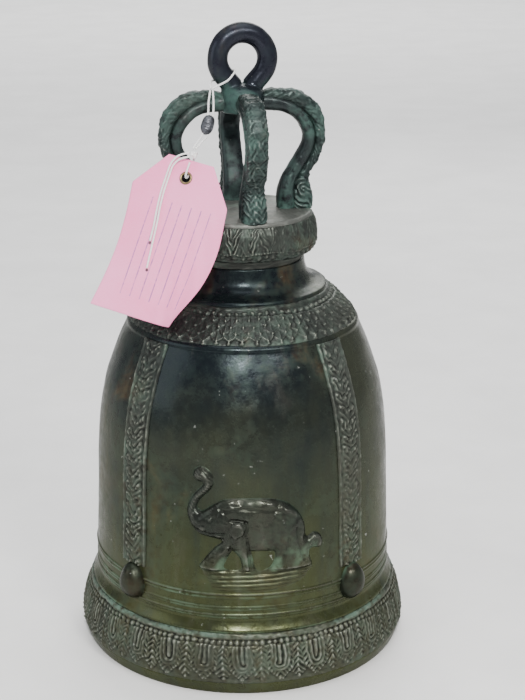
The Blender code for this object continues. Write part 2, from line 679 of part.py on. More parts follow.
def strings():
    along, spread = seal_directions()
    string("string_wrap", wrap_route(), 2)
    hold = SEAL_LENGTH / 2 + LEG_OUT_OF_SEAL
    for name, side in (("string_leg_left", -1), ("string_leg_right", 1)):
        start = STRING_CROSSING + Vector((LEG_TOP_SPREAD * side, 0, 0))
        in_seal = SEAL_CENTRE + spread * SEAL_HOLE_SPREAD * side
        end = KNOT_CENTRE + Vector((LEG_END_SPREAD * side, LEG_END_BEHIND, KNOT_RADIUS + LEG_END_ABOVE))
        route = [start, start.lerp(in_seal - along * hold, 0.5) + Vector((LEG_BULGE * side, 0, 0))]
        route += [in_seal - along * hold, in_seal, in_seal + along * hold]
        route += [(in_seal + along * hold).lerp(end, 0.55), end]
        string(name, route, 3)

    knot_rings = 9
    path, sections = [], []
    for i in range(knot_rings):
        turn = math.pi * (i + 0.5) / knot_rings
        path.append(KNOT_CENTRE + Vector((0, 0, KNOT_RADIUS * math.cos(turn))))
        radius = KNOT_RADIUS * math.sin(turn)
        sections.append(rounded_section(radius, radius, 12, 2))
    flat_sweep("string_knot", path, Vector((0, 1, 0)), sections, COTTON)

    string("string_eyelet_loop", eyelet_route(), 2)

    lift = TAG_THICKNESS / 2 + STRING_RADIUS + 1.5 * GAP
    start = KNOT_CENTRE + Vector((-KNOT_RADIUS - TAIL_OUT_OF_KNOT, 0, 0))
    tails = (("string_tail_long", 1, TAIL_LONG_END), ("string_tail_short", -1, TAIL_SHORT_END))
    for name, side, last in tails:
        shift = side * TAIL_SPREAD
        route = [start - Vector((0, 0, TAIL_DROP * shift * MM))]
        for sideways, down_by, up in (*TAIL_START, *((*spot, 0) for spot in TAIL_RUN), (*last, 0)):
            spread = shift * max(0, 1 - down_by / TAIL_TURN_LENGTH)
            route.append(on_tag((sideways + shift) * MM, (down_by + spread) * MM, lift + up * MM))
        string(name, route, 3)


# Finishes as (colour, roughness, metallic)
BRONZE_BODY = ((0.075, 0.085, 0.06), 0.42, 0.7)
BRONZE_RELIEF = ((0.12, 0.13, 0.1), 0.6, 0.6)
BRONZE_CROWN = ((0.07, 0.13, 0.11), 0.6, 0.6)
BRONZE_RING = ((0.03, 0.035, 0.05), 0.35, 0.7)
IRON = ((0.09, 0.075, 0.065), 0.6, 0.8)
PAPER = ((0.88, 0.52, 0.68), 0.85, 0.0)
AGED_BRASS = ((0.32, 0.24, 0.12), 0.4, 1.0)
LEAD = ((0.12, 0.12, 0.14), 0.4, 0.9)
COTTON = ((0.86, 0.86, 0.84), 0.9, 0.0)

clear_scene()
bell_shell()
band_ring("lotus_lip_band", LIP_BAND_OUTER, LIP_BAND_DEPTH, BRONZE_RELIEF)
band_ring("shoulder_band", SHOULDER_BAND_OUTER, SHOULDER_BAND_DEPTH, BRONZE_RELIEF)
collar()
for number, degrees in enumerate(BAND_AZIMUTHS, 1):
    corner_band(f"corner_band_{number}", math.radians(degrees))
    striking_boss(f"striking_boss_{number}", math.radians(degrees))
for relief, degrees in RELIEF_AZIMUTHS.items():
    elephant_relief(relief, math.radians(degrees))
crown()
suspension_ring()
clapper()
tag()
seal()
strings()
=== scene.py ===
import math

import bmesh
import bpy
import numpy as np
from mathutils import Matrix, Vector


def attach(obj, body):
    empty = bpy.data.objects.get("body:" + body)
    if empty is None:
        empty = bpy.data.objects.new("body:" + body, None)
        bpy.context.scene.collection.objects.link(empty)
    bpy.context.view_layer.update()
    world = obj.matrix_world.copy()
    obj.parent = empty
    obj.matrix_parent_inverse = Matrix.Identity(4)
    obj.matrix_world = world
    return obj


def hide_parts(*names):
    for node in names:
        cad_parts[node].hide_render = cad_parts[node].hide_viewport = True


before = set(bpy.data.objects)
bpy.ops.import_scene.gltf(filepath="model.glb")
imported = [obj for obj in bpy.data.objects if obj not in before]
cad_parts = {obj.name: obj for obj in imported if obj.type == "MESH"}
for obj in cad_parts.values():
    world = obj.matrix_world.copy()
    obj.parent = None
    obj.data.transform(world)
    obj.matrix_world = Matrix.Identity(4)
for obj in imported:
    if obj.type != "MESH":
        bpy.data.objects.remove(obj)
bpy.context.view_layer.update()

MM = 0.001
TAU = 2 * math.pi
UP = np.array((0.0, 0.0, 1.0))

# Sizes shared with the frame
CROWN_TURN = math.radians(11)
RING_CENTRE_Z, RING_MEAN_RADIUS, RING_BAR_RADIUS = 417.2, 17.1, 7.0
RING_LEG_TURN = math.radians(42)
STRING_RADIUS = 0.65
STRING_GAP = 0.45
TAG_LENGTH, TAG_WIDTH, TAG_TOP_WIDTH, TAG_CHAMFER_LENGTH, TAG_THICKNESS = 112.0, 70.0, 33.0, 25.0, 0.4
TAG_TOP = np.array((-34.0, -27.1, 353.0))
TAG_SLOPE_X, TAG_SLOPE_Z = -0.275, 0.5
TAG_SLANT = math.radians(12.5)
EYELET_DOWN, EYELET_SIDE = 12.5, 0.4
TAG_CURL_START = 4.0
TAG_BOW = 4.2
SEAL_CENTRE = np.array((-23.2, -18.5, 375.5))
SEAL_LENGTH, SEAL_WIDTH, SEAL_HOLE_SPREAD = 13.5, 8.6, 1.7
STRING_CROSSING = np.array((-20.5, -14.2, 398.0))
KNOT_CENTRE = np.array((-32.0, -29.5, 357.5))
KNOT_RADIUS = 2.6
LOOP_TURN_RADIUS, LOOP_BEND_RISE = 3.0, 3.2
WRAP_START = ((-22.2, -10.4, 399.3), (-17, -9.6, 401.4))
WRAP_END = ((-18.3, 5, 402.2), (-21.2, 0.5, 402.4), (-22.8, -5, 401.2), (-23.4, -9.6, 399.3))
WRAP_DOWN_LEG = 2.2
TAIL_START = ((-7.6, 1.0, 2.6), (-11.2, 6.5, 1.2), (-12.0, 14, 0), (-11.8, 26, 0))
TAIL_RUN = ((-10.6, 38), (-8.9, 49))
TAIL_TURN_LENGTH = 14
TAG_HOLE_RADIUS = 3.3
KNOT_SWELL = 1.12
CORD_STEP, CORD_SIDES, CORD_LAY = 0.35, 14, 1.7
CORD_SIDE = np.array((0.31, -0.87, 0.4))
WALL_STEP = 0.42
LINED_TOP_Z = 74

# Turned outlines as (radius, height)
OUTER_BODY = (
    (106.8, 51), (106.6, 72), (105.5, 98), (104.8, 120), (104.2, 141), (103, 160), (100.9, 178),
    (97.5, 195), (93, 208.5), (88, 222), (82.5, 234),
)
INNER_WALL = (
    (106.3, 0), (103.2, 20), (100.9, 45), (100.2, 72), (99, 120), (97.1, 160), (94.2, 182),
    (86.8, 209), (78.6, 227), (54.4, 253), (44, 260.5),
)
RING_LINES = ((70.6, 0.8), (68.0, 0.45), (61.4, 0.55), (59.4, 0.4), (55.6, 0.75), (53.6, 0.4))
NECK = ((59.2, 260.2), (58.6, 262.2), (55, 263.4), (50.4, 265.4), (46.6, 269), (44.4, 273.6), (43, 281.2))

# Crown arms as (radius, height, half thickness, half width)
ARM_BAR = (
    (11, 388.2, 5.2, 6.8), (16.2, 387.6, 5.6, 7.2), (24, 386.6, 5.2, 7.2), (31, 384.6, 4.8, 7.2),
    (37.5, 380.6, 4.6, 7.2), (43.2, 373.6, 4.4, 7.2), (46.6, 364.5, 4.3, 7.2), (45, 355.6, 4.3, 7.2),
    (41, 348.2, 4.4, 7.2), (36.3, 340.6, 4.5, 7.3), (32.3, 333, 5, 7.6), (30.6, 325, 5.8, 8),
    (30.6, 313.6, 6.2, 8.2),
)
ARM_CREST = (
    (6, 389, 2.2, 4.6), (13, 391.6, 3, 5.6), (20, 392.6, 3.6, 6), (27, 392.4, 4, 6.2),
    (34, 391.4, 4.6, 6.6), (41, 388, 5.2, 7), (47.2, 383, 5.2, 7), (51.2, 377, 4.8, 7),
    (53.4, 370, 4.2, 7), (53.6, 362, 3.8, 7), (51.8, 354, 3.8, 7),
    (48, 346.6, 3.9, 6.9), (43.6, 340, 4.2, 6.9), (41.2, 333.4, 5.2, 7.1), (41.6, 326, 6.6, 7.9),
    (42.1, 320, 7.2, 8.2), (42.2, 313.6, 6.8, 8.2),
)

# The relief's outline as (sideways, height), round the tail, the ground and up the trunk
ELEPHANT = (
    (-33.8, 155), (-32.2, 160), (-26.9, 162.3), (-21, 158.6), (-18.4, 152), (-21.5, 145.5), (-28, 138.8),
    (-30.2, 133), (-26.6, 131.2), (-20.5, 135.5), (-11.4, 140.4), (3.6, 141.2), (15.4, 140.8), (27.1, 138.2),
    (37.3, 130.5), (43.2, 120), (44.8, 110.5), (49.6, 112.6), (55, 110), (57.5, 104), (55, 99.6),
    (48.6, 100.4), (47.5, 96), (49.6, 89), (49.1, 85.5), (41.1, 78), (19.7, 72.6), (2.5, 72.2),
    (-17.8, 73.6),
    (-23.1, 79), (-27.4, 86), (-30, 90.5), (-26.9, 95.5), (-19.4, 105), (-14, 109.8), (-19.9, 111.6),
    (-29, 114), (-35.3, 120.5), (-38.1, 129.5), (-35.6, 138.8), (-30.2, 145.6), (-26.4, 150.2),
    (-30.6, 151.6),
)
LEG_GAPS = (
    ((-6.6, 103), (-2, 97.5), (-1.3, 90), (-11.8, 90.4), (-9.9, 97)),
    ((6.2, 102.5), (16.9, 102), (21.8, 101), (20.7, 94), (16.4, 90), (9.6, 90)),
)

# Crown and clapper
RING_LEG_LENGTH = 10.4
HUB = ((1, 381), (12.6, 381), (14.6, 383), (15.4, 388), (14.8, 394), (12.6, 397.4), (8, 399.8), (1, 400.6))
LINK_TOP_Z = 243
EYE_Z, EYE_RADIUS = 204.7, 7.3
BALL_Z, BALL_RADIUS, BORE_RADIUS = 55, 22, 4.3

# Camera, with its place in metres, and lamps as name, place, target, size, power and colour
FOCAL_LENGTH, SENSOR_WIDTH, SIDEWAYS_SHIFT = 80.6, 36, 0.0289
CAMERA_PLACE, CAMERA_TILT = (0, -1.063, 0.562), math.radians(71.7)
MIDDLE, WHITE = (0, 0, 0.2), (1, 1, 1)
LAMPS = (
    ("key", (0.8, -1.35, 1.5), MIDDLE, (0.4, 0.4), 17, (1, 0.98, 0.95)),
    ("front_lamp", (0.0, -1.45, 1.24), MIDDLE, (0.14, 0.12), 27, (1, 0.99, 0.97)),
    ("left_soft", (-1.4, -0.5, 0.75), MIDDLE, (0.8, 1.0), 6, (0.95, 0.98, 1)),
    ("top_soft", (0, 0, 1.9), MIDDLE, (1.2, 1.2), 17, WHITE),
    ("rear_soft", (0.5, 1.6, 1.0), MIDDLE, (1.0, 0.9), 8, WHITE),
    ("floor_wash", (0, 4.2, 2.6), (0, 3.6, 0), (3.5, 2.0), 150, WHITE),
)
FLOOR_HALF = 14


# ---------------------------------------------------------------- mesh helpers


def unit(v):
    v = np.asarray(v, float)
    return v / np.linalg.norm(v, axis=-1, keepdims=True)


def fade(low, high, x):
    """0 below low, 1 above high, and smooth between."""
    t = np.clip((x - low) / (high - low), 0, 1)
    return t * t * (3 - 2 * t)


def bead(distance, radius):
    """Cross-section of a half-round bead: 1 on its line and 0 from its radius on."""
    return np.sqrt(np.clip(1 - (distance / radius) ** 2, 0, None))


def wave(x, pitch):
    return np.cos(TAU * x / pitch)


def local(x, pitch, shift=0.0):
    """x measured from the middle of its own repeat."""
    return (x - shift + pitch / 2) % pitch - pitch / 2


def unevenness(points, size, seed, waves=18):
    """A smooth random field of about -1 to 1, with lumps of about the given size."""
    draw = np.random.default_rng(seed)
    directions = unit(draw.normal(size=(waves, 3))) * draw.uniform(0.6, 1.5, (waves, 1)) * math.pi / size
    phases = draw.uniform(0, TAU, waves)
    flat = np.asarray(points, float).reshape(-1, 3)
    field = np.sin(flat @ directions.T + phases).sum(1) / math.sqrt(waves)
    return field.reshape(np.shape(points)[:-1])


def standing(height, reach, depth):
    """How far a grid's points stand out of it: 0 in a recess, 0.5 level, 1 on a crest."""
    around = height
    for axis in (0, 1):
        shifts = range(-reach, reach + 1)
        around = sum(np.roll(around, shift, axis) for shift in shifts) / len(shifts)
    return np.clip(0.5 + (height - around) / depth, 0, 1)


def lengths_along(path):
    return np.concatenate([[0], np.cumsum(np.linalg.norm(np.diff(path, axis=0), axis=1))])


def resample(line, step):
    """Points about a step apart. The line's first three columns count as distance."""
    line = np.asarray(line, float)
    along = lengths_along(line[:, :3])
    stops = np.linspace(0, along[-1], max(2, int(round(along[-1] / step)) + 1))
    return np.stack([np.interp(stops, along, column) for column in line.T], 1)


def curve(points, per_span):
    """A Catmull-Rom curve through the given points, of any dimension."""
    p = np.array([np.asarray(point, float) for point in points])
    p = np.vstack([2 * p[0] - p[1], p, 2 * p[-1] - p[-2]])
    t = np.arange(per_span)[:, None] / per_span
    hold = 2 * t**3 - 3 * t**2 + 1
    spans = [
        b * hold + (c - a) / 2 * (t**3 - 2 * t**2 + t) + c * (1 - hold) + (d - b) / 2 * (t**3 - t**2)
        for a, b, c, d in zip(p, p[1:], p[2:], p[3:])
    ]
    return np.vstack([*spans, p[-2:-1]])


def spline(points, step):
    return resample(curve(points, 24), step)


def thinned(line, count):
    return line[np.linspace(0, len(line) - 1, count).astype(int)]


def directions(path, closed=False):
    """Unit tangents along a path."""
    return unit(np.roll(path, -1, 0) - np.roll(path, 1, 0) if closed else np.gradient(path, axis=0))


def grid(rows, columns):
    return np.meshgrid(np.linspace(*rows), np.linspace(*columns), indexing="ij")


def around(sides):
    return TAU * np.arange(sides) / sides


def around_path(path, first, second, radius, sides):
    """Rings of points round a path. first and second are square to it and to each other."""
    turn = around(sides)[:, None]
    first, second = (np.broadcast_to(v, path.shape)[:, None] for v in (first, second))
    return path[:, None] + radius * (first * np.cos(turn) + second * np.sin(turn))


def turned_points(outline, columns):
    """Rows follow the outline of (radius, height) and columns go round."""
    outline = np.asarray(outline, float)
    turn = around(columns)
    flat = outline[:, None, 0:1] * np.stack([np.cos(turn), np.sin(turn)], 1)[None]
    heights = np.broadcast_to(outline[:, None, 1:2], (*flat.shape[:2], 1))
    return np.concatenate([flat, heights], 2)


def outline_normals(outline, closed=True):
    """Normals of an outline that runs anticlockwise, as (radius, height)."""
    ahead = directions(outline, closed)
    return np.stack([ahead[:, 1], -ahead[:, 0]], 1)


def grid_faces(rows, columns, wrap_rows=False, wrap_columns=False):
    r, c = np.meshgrid(
        np.arange(rows if wrap_rows else rows - 1),
        np.arange(columns if wrap_columns else columns - 1),
        indexing="ij",
    )
    next_r, next_c = (r + 1) % rows, (c + 1) % columns
    corners = (r * columns + c, r * columns + next_c, next_r * columns + next_c, next_r * columns + c)
    return np.stack(corners, -1).reshape(-1, 4)


def loft(*grids):
    """Joins grids of rings. Each is (points, closed) and is capped at its ends unless it is closed."""
    points, faces, start = [], [], 0
    for rings, closed in grids:
        rows, columns = rings.shape[:2]
        caps = [] if closed else [range(columns), range((rows - 1) * columns, rows * columns)]
        quads = grid_faces(rows, columns, closed, True).tolist()
        faces += [tuple(corner + start for corner in face) for face in (*quads, *caps)]
        points.append(rings.reshape(-1, 3))
        start += rows * columns
    return np.vstack(points), faces


def add(name, data):
    """Puts a new object in the scene."""
    obj = bpy.data.objects.new(name, data)
    bpy.context.scene.collection.objects.link(obj)
    return obj


def closed_mesh(name, points, faces):
    """A mesh of points in millimetres, with its faces turned outwards."""
    mesh = bpy.data.meshes.new(name)
    mesh.from_pydata((np.asarray(points) * MM).tolist(), [], faces)
    bm = bmesh.new()
    bm.from_mesh(mesh)
    bmesh.ops.recalc_face_normals(bm, faces=bm.faces)
    bm.to_mesh(mesh)
    bm.free()
    return mesh


def settle(obj, place, finish, relief, green):
    """Stores what the finish reads, puts the piece on its body and hides its CAD node. place is its body and
    its CAD node.
    """
    mesh = obj.data
    # relief also sets where the finish paints shade into recesses and lightens crests.
    for label, values in (("relief", relief), ("green", green)):
        layer = mesh.attributes.new(label, "FLOAT", "POINT")
        spread = np.broadcast_to(np.ravel(values), len(mesh.vertices))
        layer.data.foreach_set("value", spread.astype(np.float32))
    mesh.shade_smooth()
    mesh.materials.clear()
    mesh.materials.append(finish)
    body, node = place
    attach(obj, body)
    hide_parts(node)
    return obj


def piece(name, points, faces, place, finish, relief=0.6, green=0.0):
    return settle(add(name, closed_mesh(name, points, faces)), place, finish, relief, green)


def lofted(name, rings, place, finish, relief=0.6, green=0.0, closed=False):
    return piece(name, *loft((rings, closed)), place, finish, relief, green)


def turned_relief(name, outline, normals, height, place, finish, relief, green=0.0):
    """A ring-shaped piece, whose rows are pushed along their normals by height."""
    columns = height.shape[1]
    points = turned_points(outline, columns) + turned_points(normals, columns) * height[..., None]
    return lofted(name, points, place, finish, relief, green, closed=True)


def slab(name, front, back, place, finish, relief=0.6, green=0.0, keep=True):
    """Closes a front grid to a back grid over the cells that keep marks."""
    rows, columns = front.shape[:2]
    cells = grid_faces(rows, columns)[np.broadcast_to(keep, (rows - 1, columns - 1)).ravel()]
    shift = rows * columns
    edges = np.concatenate([cells[:, [i, (i + 1) % 4]] for i in range(4)])
    code = np.sort(edges, 1)
    _, first, counts = np.unique(code[:, 0] * shift + code[:, 1], return_index=True, return_counts=True)
    rim = edges[first[counts == 1]]
    walls = np.stack([rim[:, 1], rim[:, 0], rim[:, 0] + shift, rim[:, 1] + shift], 1)
    faces = np.concatenate([cells, cells[:, ::-1] + shift, walls])
    used, packed = np.unique(faces, return_inverse=True)
    points = np.concatenate([front.reshape(-1, 3), back.reshape(-1, 3)])[used]
    spread = (np.tile(np.ravel(np.broadcast_to(v, (rows, columns))), 2)[used] for v in (relief, green))
    return piece(name, points, packed.reshape(faces.shape).tolist(), place, finish, *spread)


# ---------------------------------------------------------------- materials


class Finish:
    """A node material, built up by short calls."""

    def __init__(self, name, **shader_values):
        self.material = bpy.data.materials.new(name)
        self.material.use_nodes = True
        self.tree = self.material.node_tree
        self.shader = self.tree.nodes["Principled BSDF"]
        self.place = self.node("TexCoord").outputs["Object"]
        for key, value in shader_values.items():
            self.shader.inputs[key.replace("_", " ")].default_value = value

    def node(self, kind, inputs=None, **settings):
        made = self.tree.nodes.new("ShaderNode" + kind)
        for key, value in settings.items():
            setattr(made, key, value)
        for key, value in (inputs or {}).items():
            self.join(value, made.inputs[key])
        return made

    def join(self, value, socket):
        if isinstance(value, bpy.types.NodeSocket):
            self.tree.links.new(value, socket)
        else:
            socket.default_value = value

    def set(self, key, value):
        self.join(value, self.shader.inputs[key])

    def noise(self, size, detail=4.0, rough=0.55, stretch=(1, 1, 1), warp=0.0, at=None):
        """Noise whose lumps are about size millimetres across."""
        scaled = self.node("Mapping", {"Vector": at or self.place, "Scale": stretch}).outputs["Vector"]
        inputs = {"Scale": 500 / size, "Detail": detail, "Roughness": rough, "Distortion": warp}
        return self.node("TexNoise", {"Vector": scaled, **inputs}).outputs["Fac"]

    def band(self, value, low, high, to_low=0.0, to_high=1.0):
        """value's stretch from low to high, clamped, as to_low to to_high."""
        inputs = {"Value": value, "From Min": low, "From Max": high, "To Min": to_low, "To Max": to_high}
        return self.node("MapRange", inputs, interpolation_type="SMOOTHSTEP").outputs["Result"]

    def maths(self, operation, a, b=0.0):
        return self.node("Math", {0: a, 1: b}, operation=operation, use_clamp=True).outputs["Value"]

    def mix(self, share, a, b):
        made = self.node("Mix", data_type="RGBA")
        self.join(share, made.inputs["Factor"])
        for key, value in (("A", a), ("B", b)):
            socket = next(s for s in made.inputs if s.name == key and s.type == "RGBA")
            self.join((*value, 1) if isinstance(value, tuple) else value, socket)
        return next(s for s in made.outputs if s.type == "RGBA")

    def attribute(self, name):
        return self.node("Attribute", attribute_name=name).outputs["Fac"]

    def height_above_floor(self):
        return self.node("SeparateXYZ", {"Vector": self.place}).outputs["Z"]

    def bumps(self, *layers):
        """Each layer is (height, depth in millimetres)."""
        normal = None
        for height, depth in layers:
            inputs = {"Height": height, "Distance": depth * MM, "Strength": 1.0}
            if normal:
                inputs["Normal"] = normal
            normal = self.node("Bump", inputs).outputs["Normal"]
        self.set("Normal", normal)


def bronze(name, dark, mid, warm, patina, worn, patina_amount, gloss, low_green=None, rust=0.5):
    """Old cast bronze: dark skin, warm brown, patina, painted shade in the recesses and crests lightened
    both as worn metal and as a painted highlight.
    """
    f = Finish(name, Specular_IOR_Level=0.4, Specular_Tint=(0.5, 0.5, 0.48, 1))
    broad = f.noise(95, 5, 0.6, warp=0.3)
    blotch = f.noise(26, 6, 0.62, warp=0.6)
    streak = f.noise(8, 4, 0.6, (1, 1, 0.12), warp=0.2)
    fine = f.noise(3.2, 5, 0.65)
    grit = f.noise(0.9, 3, 0.6)
    relief = f.attribute("relief")

    skin = f.mix(f.band(broad, 0.36, 0.62), dark, mid)
    brown_share = f.maths("MULTIPLY", f.band(blotch, 0.53, 0.7), f.band(streak, 0.42, 0.62, 0.25, rust))
    skin = f.mix(brown_share, skin, warm)
    if low_green:
        colour, low, high = low_green
        share = f.band(f.height_above_floor(), low * MM, high * MM, 0.72, 0.0)
        skin = f.mix(f.maths("MULTIPLY", share, f.band(streak, 0.3, 0.6, 0.45, 1.0)), skin, colour)
    streak_share = f.band(streak, 0.56, 0.74, 0.0, 0.2)
    skin = f.mix(streak_share, skin, worn)

    recess = f.band(relief, 0.08, 0.5, 1.0, 0.0)
    patch = f.band(blotch, 0.42, 0.62, 0.25, 1.0)
    powder = f.maths("MULTIPLY", f.band(fine, 0.35, 0.62), patch)
    amount = f.maths("MULTIPLY", powder, patina_amount)
    amount = f.maths("ADD", amount, f.maths("MULTIPLY", f.attribute("green"), f.band(fine, 0.3, 0.55)))
    skin = f.mix(amount, skin, patina)
    # Painted shade: recesses are darkened towards a third of the dark skin colour.
    skin = f.mix(f.maths("MULTIPLY", recess, 0.8), skin, tuple(c * 0.3 for c in dark))
    # Crests lightened towards the worn colour: partly real rubbed metal, partly a painted highlight on
    # raised parts.
    crest = f.maths("MULTIPLY", f.band(relief, 0.58, 0.95), f.band(fine, 0.25, 0.6, 0.3, 1.0))
    skin = f.mix(f.maths("MULTIPLY", crest, 0.75), skin, worn)
    specks = f.band(f.noise(2.1, 2, 0.5), 0.73, 0.78, 0.0, 0.5)
    skin = f.mix(specks, skin, (0.36, 0.37, 0.34))
    f.set("Base Color", skin)

    rough = f.band(blotch, 0.3, 0.7, gloss, gloss + 0.16)
    rough = f.maths("ADD", rough, f.maths("MULTIPLY", amount, 0.3))
    rough = f.maths("ADD", rough, f.maths("MULTIPLY", recess, 0.2))
    rough = f.maths("ADD", rough, f.band(fine, 0.3, 0.7, -0.05, 0.06))
    f.set("Roughness", rough)
    f.set("Metallic", f.maths("SUBTRACT", 0.62, f.maths("MULTIPLY", amount, 0.55)))
    f.bumps((grit, 0.05), (fine, 0.16), (blotch, 0.35))
    return f.material


def iron_finish():
    f = Finish("forged_iron")
    blotch = f.noise(14, 6, 0.65, warp=0.5)
    fine = f.noise(1.6, 5, 0.7)
    skin = f.mix(f.band(blotch, 0.38, 0.6), (0.035, 0.033, 0.034), (0.085, 0.075, 0.066))
    rust = f.maths("MULTIPLY", f.band(blotch, 0.5, 0.66), f.band(fine, 0.36, 0.6))
    skin = f.mix(rust, skin, (0.19, 0.068, 0.025))
    skin = f.mix(f.band(fine, 0.62, 0.72, 0, 0.5), skin, (0.3, 0.13, 0.05))
    f.set("Base Color", skin)
    f.set("Roughness", f.band(rust, 0, 1, 0.48, 0.88))
    f.set("Metallic", f.band(rust, 0, 1, 0.85, 0.1))
    f.bumps((fine, 0.18), (blotch, 0.5))
    return f.material


def paper_finish():
    """Soft pink card with plain ruled lines, faint fibres and handling marks."""
    f = Finish("tag_card", Specular_IOR_Level=0.25, Sheen_Weight=0.1)
    sheet = f.node("UVMap", uv_map="sheet").outputs["UV"]
    axes = f.node("SeparateXYZ", {"Vector": sheet})
    cloud = f.noise(34, 4, 0.6)
    fibres = f.noise(1.1, 5, 0.7, (1, 1, 3.5))
    skin = f.mix(f.band(cloud, 0.3, 0.7), (0.94, 0.23, 0.46), (0.97, 0.3, 0.54))
    skin = f.mix(f.band(fibres, 0.35, 0.75, 0, 0.28), skin, (0.99, 0.46, 0.67))
    stripes = f.node("TexWave", {"Vector": sheet, "Scale": 3.1, "Distortion": 0.0}, bands_direction="X")
    lines = f.band(stripes.outputs["Fac"], 0.95, 0.985)
    for axis, low, high in (("X", 0.16, 0.86), ("Y", 0.27, 0.88)):
        lines = f.maths("MULTIPLY", lines, f.band(axes.outputs[axis], low, low + 0.01))
        lines = f.maths("MULTIPLY", lines, f.band(axes.outputs[axis], high, high + 0.01, 1, 0))
    ink = f.maths("MULTIPLY", lines, f.band(f.noise(1.5, 3), 0.35, 0.6, 0.3, 0.75))
    skin = f.mix(ink, skin, (0.2, 0.1, 0.28))
    # Dark pink dots on the card just past the ends of the two string tails.
    for sideways, down_by in ((-4.6, 79.2), (-8.8, 61.2)):
        reach = np.array((TAG_WIDTH, TAG_LENGTH)) / 1.5
        spot = reach * (sideways / TAG_WIDTH + 0.5, down_by / TAG_LENGTH)
        around = f.node("Mapping", {"Vector": sheet, "Scale": (*reach, 1), "Location": (*-spot, 0)})
        tail_end_dot = f.node("TexGradient", {"Vector": around.outputs["Vector"]}, gradient_type="SPHERICAL")
        skin = f.mix(f.band(tail_end_dot.outputs["Fac"], 0.1, 0.5), skin, (0.09, 0.045, 0.055))
    smudge = f.band(f.noise(9, 5, 0.7), 0.62, 0.74, 0, 0.22)
    skin = f.mix(smudge, skin, (0.62, 0.36, 0.47))
    f.set("Base Color", skin)
    f.set("Roughness", f.band(cloud, 0.3, 0.7, 0.62, 0.8))
    f.bumps((fibres, 0.03), (f.noise(7, 3, 0.5), 0.16))
    return f.material


def metal_finish(name, base, tarnish, gloss, metal):
    f = Finish(name)
    blotch = f.noise(3.5, 5, 0.65, warp=0.4)
    fine = f.noise(0.5, 4, 0.6)
    skin = f.mix(f.band(blotch, 0.4, 0.62), base, tarnish)
    # Painted glints: fine specks of a lighter copy of the metal colour.
    skin = f.mix(f.band(fine, 0.6, 0.75, 0, 0.5), skin, tuple(min(1, c * 1.8) for c in base))
    f.set("Base Color", skin)
    f.set("Roughness", f.band(blotch, 0.3, 0.7, gloss, gloss + 0.22))
    f.set("Metallic", f.band(blotch, 0.4, 0.7, metal, metal * 0.7))
    f.bumps((fine, 0.03), (blotch, 0.12))
    return f.material


def cotton_finish():
    f = Finish("cotton", Sheen_Weight=0.35, Sheen_Roughness=0.4, Specular_IOR_Level=0.2)
    fibres = f.noise(0.35, 4, 0.7, (1, 1, 0.4))
    dirt = f.noise(8, 4, 0.6)
    skin = f.mix(f.band(fibres, 0.3, 0.7), (0.72, 0.72, 0.7), (0.9, 0.9, 0.88))
    skin = f.mix(f.band(dirt, 0.55, 0.75, 0, 0.3), skin, (0.55, 0.53, 0.48))
    f.set("Base Color", skin)
    f.set("Roughness", f.band(fibres, 0.3, 0.7, 0.75, 0.95))
    f.bumps((fibres, 0.06))
    return f.material


BODY_FINISH = bronze(
    "bronze_body", (0.01, 0.014, 0.017), (0.04, 0.043, 0.028), (0.072, 0.041, 0.02), (0.1, 0.17, 0.11),
    (0.11, 0.1, 0.085), 0.1, 0.2, ((0.044, 0.05, 0.015), 60, 215), 0.75,
)
RELIEF_FINISH = bronze(
    "bronze_relief", (0.024, 0.026, 0.024), (0.068, 0.072, 0.062), (0.072, 0.053, 0.032), (0.1, 0.16, 0.122),
    (0.22, 0.23, 0.19), 0.28, 0.32, ((0.042, 0.041, 0.02), 60, 235), 0.7,
)
CROWN_FINISH = bronze(
    "bronze_crown", (0.012, 0.016, 0.017), (0.032, 0.044, 0.041), (0.048, 0.044, 0.034),
    (0.05, 0.092, 0.078), (0.19, 0.22, 0.2), 0.45, 0.3,
)
BAR_FINISH = bronze(
    "bronze_bar", (0.014, 0.016, 0.019), (0.03, 0.036, 0.036), (0.045, 0.038, 0.03), (0.05, 0.095, 0.08),
    (0.1, 0.11, 0.105), 0.4, 0.26,
)
RING_FINISH = bronze(
    "bronze_ring", (0.011, 0.012, 0.018), (0.018, 0.019, 0.028), (0.065, 0.045, 0.03), (0.036, 0.078, 0.066),
    (0.08, 0.08, 0.08), 0.1, 0.21, ((0.032, 0.052, 0.047), 384, 408),
)
PLATE_FINISH = bronze(
    "bronze_plate", (0.085, 0.088, 0.08), (0.16, 0.16, 0.145), (0.11, 0.088, 0.065), (0.12, 0.18, 0.14),
    (0.24, 0.24, 0.22), 0.2, 0.4,
)
BOSS_FINISH = bronze(
    "bronze_boss", (0.01, 0.013, 0.01), (0.018, 0.02, 0.013), (0.046, 0.028, 0.015), (0.07, 0.12, 0.08),
    (0.06, 0.058, 0.048), 0.1, 0.18,
)
ANIMAL_FINISH = bronze(
    "bronze_animal", (0.018, 0.02, 0.017), (0.04, 0.041, 0.03), (0.072, 0.048, 0.026), (0.11, 0.19, 0.12),
    (0.18, 0.18, 0.155), 0.12, 0.22, ((0.05, 0.052, 0.02), 72, 112), 0.6,
)
IRON_FINISH = iron_finish()
PAPER_FINISH = paper_finish()
BRASS_FINISH = metal_finish("aged_brass", (0.34, 0.25, 0.12), (0.1, 0.085, 0.055), 0.28, 1.0)
LEAD_FINISH = metal_finish("lead", (0.13, 0.135, 0.15), (0.05, 0.052, 0.06), 0.32, 0.9)
COTTON_FINISH = cotton_finish()


# ---------------------------------------------------------------- camera and cords


def camera():
    lens = bpy.data.cameras.new("camera")
    lens.lens, lens.sensor_width, lens.shift_x = FOCAL_LENGTH, SENSOR_WIDTH, SIDEWAYS_SHIFT
    view = add("camera", lens)
    view.location = CAMERA_PLACE
    view.rotation_euler = (CAMERA_TILT, 0, 0)
    bpy.context.scene.camera = view


